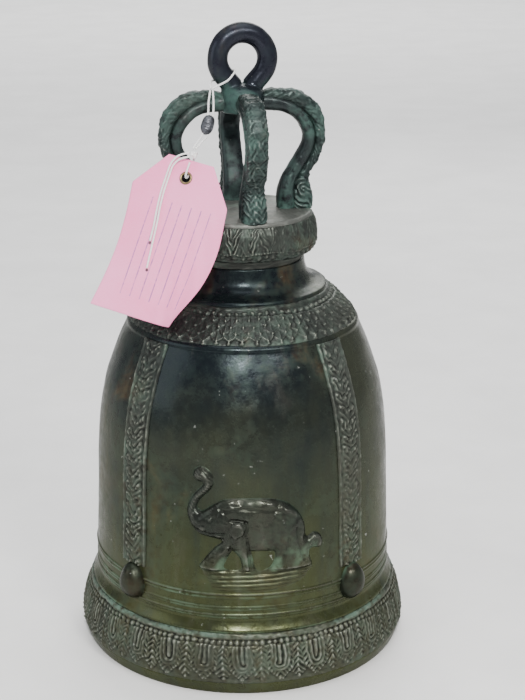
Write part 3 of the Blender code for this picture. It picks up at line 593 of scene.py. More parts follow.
def tag_frame():
    """The tag's directions: across to the right, down its length, and out of its face."""
    out = unit((TAG_SLOPE_X, -1, TAG_SLOPE_Z))
    level = unit(np.cross(UP, -out))
    level *= math.copysign(1, level[0])
    fall = np.cross(out, level)
    fall *= -math.copysign(1, fall[2])
    across = level * math.cos(TAG_SLANT) + fall * math.sin(TAG_SLANT)
    down = fall * math.cos(TAG_SLANT) - level * math.sin(TAG_SLANT)
    return across, down, out


def on_tag(sideways, down_by, lift):
    across, down, out = tag_frame()
    sideways, down_by, lift = (np.asarray(v, float)[..., None] for v in (sideways, down_by, lift))
    return TAG_TOP + across * sideways + down * down_by + out * lift


def crown_frame(degrees):
    """The outward and sideways directions of a crown arm."""
    turn = math.radians(degrees) + CROWN_TURN
    return np.array((math.cos(turn), math.sin(turn), 0)), np.array((-math.sin(turn), math.cos(turn), 0))


def wrap_route():
    """From the crossing, over the leg's front, through the ring, round its back and forward again."""
    outward, sideways = crown_frame(0)
    reach = -outward * math.cos(RING_LEG_TURN) - UP * math.sin(RING_LEG_TURN)
    down_leg = outward * math.sin(RING_LEG_TURN) - UP * math.cos(RING_LEG_TURN)
    centre = UP * RING_CENTRE_Z + reach * RING_MEAN_RADIUS + down_leg * WRAP_DOWN_LEG
    radius = RING_BAR_RADIUS + STRING_RADIUS + STRING_GAP
    turn_points = []
    for degrees in (-85, -115, -145, -180, -215, -245, -275, -300):
        turn = math.radians(degrees)
        turn_points.append(centre + (reach * math.cos(turn) + sideways * math.sin(turn)) * radius)
    start, end = ([outward * s + sideways * q + UP * z for s, q, z in p] for p in (WRAP_START, WRAP_END))
    return curve(start + turn_points + end, 2)


def seal_directions():
    along = unit((-0.27, -0.27, -0.93))
    spread = unit(np.cross(along, (0, -1, 0)))
    return along, spread * math.copysign(1, spread[0])


def leg_route(side):
    """From the crossing, through the seal and down to the knot."""
    along, spread = seal_directions()
    hold = SEAL_LENGTH / 2 + 0.5
    start = STRING_CROSSING + (0.85 * side, 0, 0)
    in_seal = SEAL_CENTRE + spread * SEAL_HOLE_SPREAD * side
    end = KNOT_CENTRE + (1.0 * side, 1.2, KNOT_RADIUS + 1.1)
    top, bottom = in_seal - along * hold, in_seal + along * hold
    middle = (start + top) / 2 + np.array((0.4 * side, 0, 0))
    return curve([start, middle, top, in_seal, bottom, bottom + (end - bottom) * 0.55, end], 3)


def eyelet_route():
    """From under the knot, down into the eyelet, up the tag's back and over its edge to behind the knot."""
    _, down, out = tag_frame()
    middle = on_tag(EYELET_SIDE, EYELET_DOWN, 0)
    front = [on_tag(EYELET_SIDE, EYELET_DOWN - up, LOOP_TURN_RADIUS) for up in (10.5, 7)]
    bend = []
    for i in range(5):
        turn = math.pi * i / 4
        below = LOOP_TURN_RADIUS * math.sin(turn) - LOOP_BEND_RISE
        bend.append(middle + out * LOOP_TURN_RADIUS * math.cos(turn) + down * below)
    behind = ((6.5, -3), (10, -3), (13.6, -2.8), (16.6, -1.2))
    back = [on_tag(EYELET_SIDE, EYELET_DOWN - up, lift) for up, lift in behind]
    return curve(front + bend + back, 2)


def tail_route(shift, last):
    """From the knot's left, down the tag's face."""
    lift = TAG_THICKNESS / 2 + STRING_RADIUS + STRING_GAP
    route = [KNOT_CENTRE + (-KNOT_RADIUS - 0.5, 0, -1.5 * shift)]
    for sideways, down_by, up in (*TAIL_START, *((*spot, 0) for spot in TAIL_RUN), (*last, 0)):
        spread = shift * max(0, 1 - down_by / TAIL_TURN_LENGTH)
        route.append(on_tag(sideways + shift, down_by + spread, lift + up))
    return curve(route, 3)


def cord(name, route, body):
    """A two-ply cotton string along its route."""
    fine = resample(route, CORD_STEP)
    tangents = directions(fine)
    side = CORD_SIDE
    firsts = []
    for tangent in tangents:
        side = unit(side - tangent * (side @ tangent))
        firsts.append(side)
    twist = around(CORD_SIDES)[None] - math.pi * lengths_along(fine)[:, None] / CORD_LAY
    swell = STRING_RADIUS * (0.9 + 0.14 * np.abs(np.cos(twist)))
    points = around_path(fine, np.array(firsts), np.cross(tangents, firsts), swell[..., None], CORD_SIDES)
    obj = lofted("cotton_" + name, points, (body, name), COTTON_FINISH)


def knot():
    """An overhand knot, drawn as one closed trefoil of string."""
    t = np.linspace(0, TAU, 160, endpoint=False)
    line = np.stack([np.sin(t) + 2 * np.sin(2 * t), 1.1 * np.sin(3 * t), np.cos(t) - 2 * np.cos(2 * t)], 1)
    line = KNOT_CENTRE + line * (KNOT_RADIUS - STRING_RADIUS) / 3
    tangents = directions(line, closed=True)
    outward = unit(line - KNOT_CENTRE + (0, 0.01, 0))
    side = unit(outward - tangents * (outward * tangents).sum(1, keepdims=True))
    points = around_path(line, side, np.cross(tangents, side), STRING_RADIUS * KNOT_SWELL, 12)
    return lofted("string_knot_ply", points, ("hanging_tag", "string_knot"), COTTON_FINISH, closed=True)


def curled(sideways, down_by):
    """Where the card's points go: its sides bow a little and its lower right corner curls forward."""
    rolled = np.clip(sideways - TAG_CURL_START, 0, None)
    curl = 0.002 + 0.036 * fade(48, 116, down_by) ** 1.2
    turned_by = rolled * curl
    bent = np.where(rolled > 0, TAG_CURL_START + np.sin(turned_by) / curl, sideways)
    forward = (1 - np.cos(turned_by)) / curl
    bent = bent + TAG_BOW * np.sin(math.pi * np.clip((down_by - 24) / (TAG_LENGTH - 24), 0, 1))
    creases = wave(sideways * 0.8 + down_by * 0.5, 21) * 0.4 + wave(sideways - down_by * 0.35, 13) * 0.3
    return bent, forward + creases * fade(2, 14, sideways) * fade(26, 44, down_by)


def tag():
    down_by, share = grid((0, TAG_LENGTH, 110), (-1, 1, 68))
    chamfered = np.clip(down_by / TAG_CHAMFER_LENGTH, 0, 1)
    sideways = share * (TAG_TOP_WIDTH / 2 + (TAG_WIDTH - TAG_TOP_WIDTH) / 2 * chamfered)
    bent, back_by = curled(sideways, down_by)
    front, back = (on_tag(bent, down_by, back_by + lift) for lift in (TAG_THICKNESS / 2, -TAG_THICKNESS / 2))
    from_hole = np.hypot(sideways - EYELET_SIDE, down_by - EYELET_DOWN)
    keep = (from_hole[:-1, :-1] + from_hole[1:, 1:]) / 2 > TAG_HOLE_RADIUS
    card = slab("tag_card", front, back, ("hanging_tag", "tag"), PAPER_FINISH, keep=keep)
    sheet = card.data.uv_layers.new(name="sheet")
    across, down, _ = tag_frame()
    spots = np.array([v.co for v in card.data.vertices]) / MM - TAG_TOP
    flat = np.stack([(spots @ across + TAG_WIDTH / 2) / TAG_WIDTH, (spots @ down) / TAG_LENGTH], 1)
    corners = np.empty(len(card.data.loops), int)
    card.data.loops.foreach_get("vertex_index", corners)
    sheet.data.foreach_set("uv", flat[corners].astype(np.float32).ravel())
    return card


def eyelet():
    """A rolled brass eyelet with a soft round flange on each face."""
    outline = []
    for face in (1, -1):
        for degrees in range(0, 200, 20):
            turn = math.radians(degrees)
            outline.append((3.72 - face * 0.75 * math.cos(turn), face * (0.35 + 0.62 * math.sin(turn))))
    across, down, out = tag_frame()
    turned = turned_points(outline, 56) @ np.stack([across, -down, out])
    points = on_tag(EYELET_SIDE, EYELET_DOWN, 0) + turned
    return lofted("rolled_eyelet", points, ("hanging_tag", "tag_eyelet"), BRASS_FINISH, closed=True)


def seal():
    """A crimped lead bead, dimpled where the string goes in and creased by the pliers."""
    along, spread = seal_directions()
    depth = unit(np.cross(spread, along))
    t = np.linspace(-0.985, 0.985, 60)[:, None]
    turn = around(64)[None]
    swell = np.sqrt(1 - np.abs(t) ** 2.5)
    wide, thick = np.cos(turn), np.sin(turn)
    crease = 1 - 0.09 * bead(t - 0.05, 0.16) * np.abs(thick) - 0.05 * wave(t, 0.33) * (np.abs(thick) > 0.3)
    points = (
        SEAL_CENTRE
        + along * (t * SEAL_LENGTH / 2 + 0 * turn)[..., None]
        + spread * (wide * swell * SEAL_WIDTH / 2)[..., None]
        + depth * (thick * swell * crease * SEAL_WIDTH * 0.4)[..., None]
    )
    points = points + unevenness(points, 2.4, 5)[..., None] * 0.12
    return lofted("lead_seal", points, ("hanging_tag", "tag_seal"), LEAD_FINISH)


def tag_and_string():
    sealed = [seal(), knot()]
    carried = [tag(), eyelet()]
    cord("string_wrap", wrap_route(), "bell")
    cord("string_leg_left", leg_route(-1), "hanging_tag")
    cord("string_leg_right", leg_route(1), "hanging_tag")
    cord("string_eyelet_loop", eyelet_route(), "hanging_tag")
    cord("string_tail_long", tail_route(0.95, (-5.6, 78)), "hanging_tag")
    cord("string_tail_short", tail_route(-0.95, (-7.9, 60)), "hanging_tag")


# ---------------------------------------------------------------- the bell's body


def body_outline():
    """The shell's closed outline, fine where its ring lines are, as (radius, height)."""
    rim = spline(((114.4, 0), (115.6, 0.8), (117.2, 5), (118.3, 9), (117.6, 10.4)), 0.9)
    behind_lip = resample(((116.4, 11), (112.2, 31), (109.3, 42.2)), 6)
    cove = spline(((110.4, 43.2), (110.3, 44.6), (109.3, 46.2), (108.2, 48), (107.2, 50)), 0.8)
    wall = spline(OUTER_BODY, WALL_STEP)
    lined = wall[wall[:, 1] < LINED_TOP_Z]
    plain = resample(wall[wall[:, 1] >= LINED_TOP_Z], 2.0)
    rim_top = spline(((82.1, 235), (82, 236.6), (81, 238.3), (79.6, 239.2)), 0.6)
    behind_shoulder = resample(((77.6, 239.6), (68.6, 248.6), (58.6, 257.4)), 6)
    neck = spline(NECK, 0.9)
    roof = resample(((40, 281.2), (1, 281.2)), 10)
    ceiling = resample(((1, 268), (34, 267.4)), 8)
    inside = spline(INNER_WALL, 4.5)[::-1]
    mouth = ((107, 0.2), (110, 0))
    outside = (rim, behind_lip, cove, lined, plain, rim_top, behind_shoulder, neck, roof)
    return np.vstack([*outside, ceiling, inside, mouth])


def bell_body():
    """The cast shell: fine raised lines low on the wall and a hand-finished casting's unevenness."""
    outline = body_outline()
    radius, level = outline[:, 0:1], outline[:, 1:2]
    base = turned_points(outline, 256)
    height = (unevenness(base, 38, 1) * 0.22 + unevenness(base, 9, 2) * 0.05) * fade(2, 8, level)
    outer = (level < LINED_TOP_Z) & (radius > 104.5)
    lines = np.zeros_like(level)
    green = np.zeros_like(height)
    for line_z, high in RING_LINES:
        away = np.abs(level - line_z)
        lines += outer * bead(away, 0.8) * high
        green += outer * fade(1.0, 0.5, away) * 0.5
    edge_green = fade(1.6, 0.3, np.abs(level - 43.4)) * (radius > 108) * 0.8
    leftward = 0.45 + 0.55 * fade(20, -90, base[..., 0])
    green = np.clip(green + edge_green, 0, 1) * fade(-0.5, 0.7, unevenness(base, 30, 3)) * leftward
    turned_relief(
        "bell_body_casting", outline, outline_normals(outline), height + lines, ("bell", "bell_shell"),
        BODY_FINISH, 0.5 + 0.3 * lines / 0.9 + 0 * height, green,
    )


def wall_radius(z):
    """Radius of the smooth outer wall at each height."""
    fine = spline(OUTER_BODY, WALL_STEP)
    return np.interp(z, fine[:, 1], fine[:, 0])


def on_wall(degrees, sideways, z, out):
    """Points on the wall, sideways measured along it from the vertical line at an azimuth."""
    radius = wall_radius(z)
    turn = math.radians(degrees) + sideways / radius
    return np.stack([(radius + out) * np.cos(turn), (radius + out) * np.sin(turn), z + 0 * turn], -1)


def banded(name, node, outer, depth, rows, columns, relief_height, reach, scale, green_at, wander):
    """A ring of relief on an outline that runs upwards. wander is how far its lines stray, in mm."""
    line = thinned(resample(outer, 0.1), rows)
    out = outline_normals(line, closed=False)
    up_by = lengths_along(line)[:, None]
    inner = resample((line[-1] - out[-1] * depth, line[0] - out[0] * depth), 8)
    base = turned_points(line, columns)
    sideways = (unevenness(base, 9, 13) + 0.5 * unevenness(base, 3.4, 16)) * wander
    upwards = (unevenness(base, 7, 14) + 0.5 * unevenness(base, 3, 17)) * wander * 0.8
    height = relief_height(around(columns)[None] + sideways / line[:, 0:1], up_by + upwards)
    height = height * (0.85 + 0.25 * unevenness(base, 18, 15))
    height = height + unevenness(base, 2.4, 11) * 0.16 + unevenness(base, 16, 12) * 0.15
    fill = np.zeros((len(inner), columns))
    turned_relief(
        name, np.vstack([line, inner]), np.vstack([out, np.zeros_like(inner)]), np.vstack([height, fill]),
        ("bell", node), RELIEF_FINISH, np.vstack([standing(height, reach, scale), fill + 0.3]),
        np.vstack([green_at(up_by, base) + 0 * height, fill]),
    )


LIP_OUTER = ((118.7, 9.8), (118.9, 11.5), (118.4, 18), (115.2, 31), (111.4, 41.5), (110.9, 43.4))
LIP_MEAN_RADIUS = 115.5
PETALS = 28
LIP_BEADS = 165


def lip_relief(turn, y):
    """Hanging lotus petals of nested U lines, feathered leaves between them, and a bead row above."""
    arc = turn * LIP_MEAN_RADIUS
    pitch = TAU * LIP_MEAN_RADIUS / PETALS
    x = np.abs(local(arc, pitch))
    beyond = np.abs(local(arc, pitch, pitch / 2))
    slot = np.hypot(x, np.clip(14.5 - y, 0, None))
    half = 9.4 * fade(0.2, 12.5, y) ** 0.8 + 0.01
    inside = fade(0.7, -0.7, x - half)
    nested = 0.15 + 0.8 * bead(slot - 0.4, 0.95) + 0.85 * bead(slot - 3.2, 1.05)
    nested = nested + 0.75 * bead(slot - 5.9, 1.05)
    nested = nested - 0.5 * fade(0.9, 0.3, np.abs(slot - 1.9))
    leaves = 0.2 + 0.55 * wave(y + 1.15 * x, 3.9)
    petal = nested + fade(6.6, 7.4, slot) * (leaves - nested)
    petal = petal + 0.45 * bead(x - half + 0.5, 0.9) * fade(17, 12, y)
    feather = 0.1 + 0.55 * wave(y + 1.1 * beyond, 3.7) + 0.5 * bead(beyond, 0.8)
    leaf_half = 5.2 * fade(0.6, 8.0, y) + 0.01
    leaf = fade(0.6, -0.6, beyond - leaf_half)
    carved = -0.6 * fade(1.2, 3.4, y) * (1 - leaf) + leaf * feather
    share = fade(22, 26, y)
    carved = carved + inside * ((1 - share) * (petal - carved) + share * (nested - carved))
    along = local(arc, TAU * LIP_MEAN_RADIUS / LIP_BEADS)
    beads = 1.35 * bead(np.hypot(along, y - 28.4), 1.95) - 0.75
    carved = carved + fade(26.0, 26.8, y) * (beads - carved)
    ridge = 0.7 * bead(y - 32.3, 1.9) - 0.2
    return carved + fade(30.2, 30.9, y) * (ridge - carved)


SHOULDER_OUTER = (
    (80.6, 238.9), (79.8, 240.4), (75.5, 245.4), (70.4, 250.4), (65, 255.2), (60.2, 259.6), (59, 260.4),
)
SCALES = 56
SHOULDER_BEADS, SHOULDER_BEAD_SPACING = 77, 4.9


def shoulder_relief(turn, y):
    """Overlapping leaf scales that end in knobs, under a row of beads."""
    pitch = TAU / SCALES
    carved = np.full(np.broadcast(turn, y).shape, -0.7)
    for row in range(4):
        tip = 2.6 + 5.2 * row
        width = 9.0 - 0.62 * row
        x = np.abs(local(turn, pitch, pitch / 2 * (row % 2))) / pitch * width
        over = y - tip
        half = width * 0.49 * fade(-0.6, 4.6, over) + 0.01
        inside = fade(0.35, -0.35, x - half) * fade(-0.7, 0.1, over)
        rise = 0.9 - 0.11 * np.clip(over, 0, 9)
        scale = rise - 0.35 * (x / half) ** 2 + 0.5 * bead(x, 0.5) + 0.4 * bead(x - half + 0.45, 0.55)
        scale = scale + 0.3 * wave(over - 1.1 * x, 2.1) * fade(0.5, 1.2, x)
        knob = 1.25 * bead(np.hypot(x, over + 0.5), 1.5) * (1.0 if row == 0 else 0.6)
        carved = np.maximum(carved + inside * np.maximum(scale - carved, 0), knob - 0.5)
    bead_pitch = TAU / SHOULDER_BEADS
    along = local(turn, bead_pitch) / bead_pitch * SHOULDER_BEAD_SPACING
    beads = 1.4 * bead(np.hypot(along, y - 24.6), 1.7) - 0.7
    carved = carved + fade(22.2, 22.9, y) * (beads - carved)
    ridge = 0.7 * bead(y - 29, 1.6) - 0.3
    return carved + fade(26.8, 27.4, y) * (ridge - carved)


COLLAR_OUTER = (
    (48.6, 287.4), (50.2, 288.6), (51.6, 292.6), (52, 299), (51, 306), (49.4, 310.2), (48.7, 311.4),
)
FLAMES, FLAME_WIDTH = 28, 11.3
COLLAR_BEADS, COLLAR_BEAD_RADIUS = 60, 50.6


def collar_relief(turn, y):
    """Tall flame leaves of steep strokes over a bead row between two lines."""
    pitch = TAU / FLAMES
    x = np.abs(local(turn, pitch)) / pitch * FLAME_WIDTH
    lean = 0.4 * np.sin(turn * 9) + 0.3 * np.sin(turn * 23 + 1)
    nested = 0.42 * wave(x * 1.25 + y * 0.42 + lean, 2.3)
    tips = 0.3 * wave(y + 2.2 * x, 6.2)
    worn = 0.6 + 0.4 * fade(-0.6, 0.5, np.sin(turn * 3 + 0.6) + 0.4 * np.sin(turn * 11))
    carved = (nested + tips - 0.35 * bead(5.65 - x, 0.8)) * worn
    along = local(turn, TAU / COLLAR_BEADS) * COLLAR_BEAD_RADIUS
    beads = 1.1 * bead(np.hypot(along, y - 4.8), 1.7) - 0.5
    carved = carved + fade(7.4, 6.6, y) * (beads - carved)
    lines = 0.5 * bead(y - 7.2, 0.8) + 0.7 * bead(y - 2.2, 0.9)
    return carved * fade(0.4, 1.4, y) + lines


def bands():
    banded(
        "lotus_petal_band", "lotus_lip_band", LIP_OUTER, 4.5, 56, 960, lip_relief, 3, 1.5,
        lambda y, base: 0.6 * fade(31, 32.4, y) * fade(-0.4, 0.8, unevenness(base, 26, 21)), 0.55,
    )
    banded(
        "leaf_scale_band", "shoulder_band", SHOULDER_OUTER, 4, 50, 660, shoulder_relief, 2, 1.9,
        lambda y, base: 0.25 * fade(5, 1, y) * fade(-0.4, 0.6, unevenness(base, 22, 22)), 0.6,
    )
    banded(
        "flame_collar", "collar_band", COLLAR_OUTER, 2.5, 44, 500, collar_relief, 2, 1.5,
        lambda y, base: 0.55 * fade(0.5, 1.4, unevenness(base, 14, 27)) * fade(6, 12, y), 1.0,
    )


def drum():
    """The drum whose brushed top plate carries the crown."""
    side = spline(((41, 280.4), (44, 284), (47.2, 287), (48.2, 292), (48.2, 306), (48.2, 311)), 1.4)
    top = spline(((48.1, 312.4), (47.4, 313.7), (45.6, 314), (30, 314), (12, 314), (1, 314)), 1.2)
    outline = np.vstack([side, top, ((1, 280.4), (20, 280.4))])
    base = turned_points(outline, 240)
    height = unevenness(base, 18, 31) * 0.18 + unevenness(base, 5, 32) * 0.06
    brushed = np.hypot(base[..., 0] - 6, base[..., 1] + 4) + unevenness(base, 9, 33) * 2
    turned_relief(
        "crown_plate", outline, outline_normals(outline), height, ("bell", "crown_drum"), PLATE_FINISH,
        0.62 + 0.14 * wave(brushed, 2.6), 0.35 * fade(0.5, 1.3, unevenness(base, 16, 34)),
    )


CORNERS = tuple(enumerate((45, 135, 225, 315), 1))
BAND_BOTTOM_Z, BAND_TOP_Z = 80, 236
BAND_HALF_WIDTH = 11.25
CHEVRON_PITCH = 9.3
BOSS_Z = 67.0
BOSS_HALF_WIDTH, BOSS_HALF_HEIGHT, BOSS_RISE = 10.5, 13.5, 9.6


def strip_relief(x, z):
    """A chain of V leaves with curled tips, between two thin border lines."""
    side = np.abs(x)
    y = local(z, CHEVRON_PITCH)
    vee = 0.55 * wave(z - 0.95 * side, CHEVRON_PITCH / 2)
    outline = 7.0 + 0.9 * wave(z - 3, CHEVRON_PITCH)
    leaf = fade(0.7, -0.7, side - outline)
    heart = 0.55 * bead(np.abs(y) / 3.3 + side / 2.5 - 0.75, 0.35)
    curl = 0.65 * bead(np.hypot(side - 5.2, local(z, CHEVRON_PITCH, 4.2)) - 1.7, 0.9)
    carved = -0.5 + leaf * (0.75 + vee + curl + heart)
    borders = 0.8 * bead(side - 10.2, 0.9) + 0.25 * bead(side - 8.6, 0.6)
    return carved * fade(9.0, 8.2, side) + borders - 0.3 * fade(8.2, 9, side)


def corner_bands():
    z, x = grid((BAND_BOTTOM_Z, BAND_TOP_Z, 190), (-BAND_HALF_WIDTH, BAND_HALF_WIDTH, 30))
    edge = fade(BAND_HALF_WIDTH, BAND_HALF_WIDTH - 0.8, np.abs(x))
    for number, degrees in CORNERS:
        spots = on_wall(degrees, x, z, 0)
        worn = 0.62 + 0.38 * fade(-0.8, 0.7, unevenness(spots, 20, 40 + number))
        stray_x = unevenness(spots, 7, 42) + 0.5 * unevenness(spots, 3, 43)
        stray_x = stray_x * 0.7 * fade(10, 7, np.abs(x))
        stray_z = (unevenness(spots, 9, 45) + 0.6 * unevenness(spots, 3.5, 46)) * 1.1
        height = strip_relief(x + stray_x, z + 1.7 * number + stray_z) * worn
        height = height + unevenness(spots, 2.6, 44) * 0.2
        front = on_wall(degrees, x, z, (height + 1.15) * edge - 0.3 * (1 - edge))
        green = 0.3 * fade(0.2, 1.1, unevenness(spots, 22, 50 + number)) * fade(5, 10, np.abs(x))
        slab(
            f"leaf_strip_{number}", front, on_wall(degrees, x, z, -1.2), ("bell", f"corner_band_{number}"),
            RELIEF_FINISH, standing(height, 2, 1.6), green,
        )


def bosses():
    """Egg-shaped knobs, polished by touch, each on a thin rim."""
    rise, turn = np.meshgrid(np.linspace(-0.3, math.pi / 2 - 0.03, 34), around(72), indexing="ij")
    reach = np.cos(np.clip(rise, 0, None))
    across = BOSS_HALF_WIDTH * (1 - 0.14 * np.sin(turn)) * np.cos(turn) * reach
    along = BOSS_HALF_HEIGHT * np.sin(turn) * reach
    radial = wall_radius(BOSS_Z) + BOSS_RISE * np.sin(rise)
    for number, degrees in CORNERS:
        azimuth = math.radians(degrees)
        outward = np.array((math.cos(azimuth), math.sin(azimuth), 0))
        points = radial[..., None] * outward + across[..., None] * np.cross(UP, outward)
        points = points + (BOSS_Z + along)[..., None] * UP
        points = points + unevenness(points, 7, 60 + number)[..., None] * 0.14
        foot = 0.8 * fade(0.35, 0.0, rise) * fade(-0.6, 0.6, unevenness(points, 12, 65))
        lofted(
            f"boss_{number}", points, ("bell", f"striking_boss_{number}"), BOSS_FINISH,
            0.5 + 0.08 * np.sin(rise), foot,
        )


# ---------------------------------------------------------------- the elephant relief


def from_line(x, z, points):
    """Distance to a polyline."""
    nearest = np.inf
    for (x0, z0), (x1, z1) in zip(points, points[1:]):
        span_x, span_z = x1 - x0, z1 - z0
        share = np.clip(((x - x0) * span_x + (z - z0) * span_z) / (span_x**2 + span_z**2), 0, 1)
        nearest = np.minimum(nearest, np.hypot(x - x0 - share * span_x, z - z0 - share * span_z))
    return nearest


def signed_depth(x, z, rings):
    """How deep each point lies inside closed outlines: negative outside them, or in a gap."""
    nearest, inside = np.inf, np.zeros(x.shape, bool)
    for ring in rings:
        nearest = np.minimum(nearest, from_line(x, z, ring))
        for (x0, z0), (x1, z1) in zip(ring, ring[1:]):
            if z0 != z1:
                inside ^= ((z0 > z) != (z1 > z)) & (x < (x1 - x0) * (z - z0) / (z1 - z0) + x0)
    return np.where(inside, nearest, -nearest)


GROOVES = (
    (((-7.3, 127.1), (-2.8, 126.6), (2.3, 125.9)), 0.75, 1.3),
    (((2.3, 125.9), (3.2, 121.5), (1.9, 117), (-3, 114)), 0.7, 1.0),
    (((3.1, 113.5), (4.3, 102), (5.4, 90)), 0.7, 1.2),
    (((-7.5, 114.5), (-6.7, 109), (-8.2, 104)), 0.7, 0.8),
    (((36.1, 118), (37.4, 108), (39.6, 100), (41.7, 95)), 0.8, 0.9),
    (((30.4, 112), (29.7, 104), (27.6, 97), (28.4, 91)), 0.8, 0.8),
    (((-29.6, 117.6), (-21, 115.8), (-12, 117)), 0.6, 0.8),
    (((-14.6, 133.5), (-1.7, 134.8), (11.1, 133.4), (26.1, 132.2), (33.6, 127.5)), 0.7, 0.25),
    (((9, 102.4), (21.4, 102.2)), 0.6, 0.6),
)
GROUND_LINES = (87.2, 83.8, 80.6, 77.4, 74.6)
BACK_LINE = ((-14, 137.2), (2, 138.4), (16, 137.6), (27, 135), (34, 129.5))


def elephant(side, degrees):
    """A walking elephant with raised trunk, on a lined ground, rounded towards its outline."""
    z, x = grid((70, 164.5, 176), (-41, 60.5, 184))
    depth = signed_depth(x, z, [spline((*ring, ring[0]), 0.9) for ring in (ELEPHANT, *LEG_GAPS)])
    flat = np.stack([x, z, 0 * x], -1)
    lumps = unevenness(flat, 6, 71) * 0.3 + unevenness(flat, 2.2, 72) * 0.1
    body = 4.6 * (1 - np.exp(-np.clip(depth, 0, None) / 4.6))
    haunch = 1.5 * bead(np.hypot((x - 31) / 0.8, (z - 119) / 1.35), 15)
    shoulder = 1.3 * bead(np.hypot(x + 6, (z - 121) / 1.4), 12)
    head = 1.7 * bead(np.hypot((x + 22) / 1.1, z - 124), 12)
    ear = 1.2 * fade(6.4, 4.4, np.hypot((x + 3.2) * 1.3, (z - 119.5) * 0.9))
    back_line = 0.9 * bead(from_line(x, z, BACK_LINE), 3.0) * (0.8 + 0.35 * unevenness(flat, 4.5, 73))
    on_trunk = fade(-17.2, -20.2, x) * fade(129, 134, z)
    rings_cut = 0.3 * wave(x * 0.66 + z * 0.75, 2.1) * on_trunk
    tail = 0.6 * bead(np.hypot(x - 50.6, z - 105) - 4.4, 1.5) * (x > 45)
    jaw = bead(np.hypot((x + 26) * 0.8, z - 120), 2.4) + 0.8 * bead(np.hypot((x + 15) * 0.7, z - 115), 2.4)
    eye = 0.6 * bead(np.hypot(x + 21, z - 127), 1.2) - 0.4 * bead(np.hypot(x + 21, z - 127) - 1.8, 0.7)
    height = body + haunch + shoulder + head + ear + back_line + rings_cut + tail + jaw + eye
    height = height + lumps * fade(0, 2, depth)
    for line, radius, cut in GROOVES:
        height = height - cut * bead(from_line(x, z, line), radius * 1.7)
    ground = 0.5 + sum(0.85 * bead(z - level - 0.03 * x, 1.05) for level in GROUND_LINES)
    ground = ground * fade(0, 5, depth) + lumps * 0.5
    height = height + fade(90, 88.2, z) * (ground - height)
    edge = fade(-0.5, 1.3, depth)
    front = on_wall(degrees, x, z, np.where(depth > 0, height + 0.1, 0) * edge - 0.45 * (1 - edge))
    corners = np.maximum.reduce([depth[:-1, :-1], depth[1:, :-1], depth[:-1, 1:], depth[1:, 1:]])
    green = 0.4 * fade(0.0, 1.1, unevenness(flat, 8, 74)) * fade(112, 96, z) * fade(86, 90, z)
    green = np.clip(green + 0.25 * fade(0.8, 0, depth), 0, 1)
    slab(
        f"elephant_{side}", front, on_wall(degrees, x, z, -1.4), ("bell", f"elephant_relief_{side}"),
        ANIMAL_FINISH, standing(height, 6, 4.2), green, keep=corners > -0.7,
    )


# ---------------------------------------------------------------- the crown


def swept_arm(table, degrees, stations, sides, power, relief_height):
    """Sweeps a superellipse down a crown arm and pushes its skin out by relief_height."""
    outward, sideways = crown_frame(degrees)
    line = thinned(spline(table, 0.2), stations)
    path = line[:, 0:1] * outward + line[:, 1:2] * UP
    inward = np.cross(sideways, directions(path))
    shares = np.cos(around(sides)), np.sin(around(sides))
    out_shape, side_shape = (np.sign(share) * np.abs(share) ** (2 / power) for share in shares)
    outs = out_shape[None] * line[:, 2:3]
    acrosses = side_shape[None] * line[:, 3:4]
    push = -inward[:, None] * shares[0][None, :, None] + sideways * shares[1][None, :, None]
    points = path[:, None] - inward[:, None] * outs[..., None] + sideways * acrosses[..., None]
    stray = [unevenness(points, size, 86 + size) * amount for size, amount in ((9, 1.3), (5, 0.7), (7, 0.8))]
    height = relief_height(
        lengths_along(path)[:, None] + stray[0], outs + stray[1], acrosses + stray[1],
        line[:, 0:1] + outs + stray[2], line[:, 1:2] + stray[0], shares[0][None],
    )
    return points + push * height[..., None], height


def bar_relief(along, outs, acrosses, radius, z, facing):
    return 0.1 * wave(along, 31) + 0.15 * bead(np.abs(acrosses) - 5.2, 0.9) * (np.abs(facing) > 0.3)


def crest_relief(along, outs, acrosses, radius, z, facing):
    """Vine leaves between border lines on the outer face, rough flanks, and a scroll at the foot."""
    outer = fade(-0.1, 0.55, facing)
    side = np.abs(acrosses)
    lozenge = np.abs(local(along, 13.5)) / 6.6 + side / 5.0
    face = 0.6 * bead(lozenge - 0.9, 0.2) + 0.4 * bead(lozenge - 0.4, 0.18) - 0.3
    face = face + 0.3 * wave(along + 1.3 * acrosses, 3.4) * fade(0.95, 1.15, lozenge)
    face = face * (0.55 + 0.45 * fade(384, 360, z)) + 0.5 * bead(side - 6.1, 0.8)
    lumps = 0.55 * wave(along, 9.7) * wave(along, 23) * outer
    flank = 0.26 * wave(along * 0.8 - outs * 1.2, 4.3) * fade(0.75, 0.2, np.abs(facing))
    from_centre = np.hypot(radius - 42.5, z - 326.5)
    scroll = 0.5 * wave(from_centre + 0.35 * np.arctan2(z - 326.5, radius - 42.5), 3.1) * (1 - outer)
    leaves = outer * (0.45 * wave(z - 1.6 * np.abs(side - 3.4), 5.2) + 0.3 * bead(side, 1.2))
    foot = fade(342, 334, z)
    rich = outer * face + lumps + flank * (1 - outer)
    return rich * (1 - foot) + foot * (scroll + leaves)


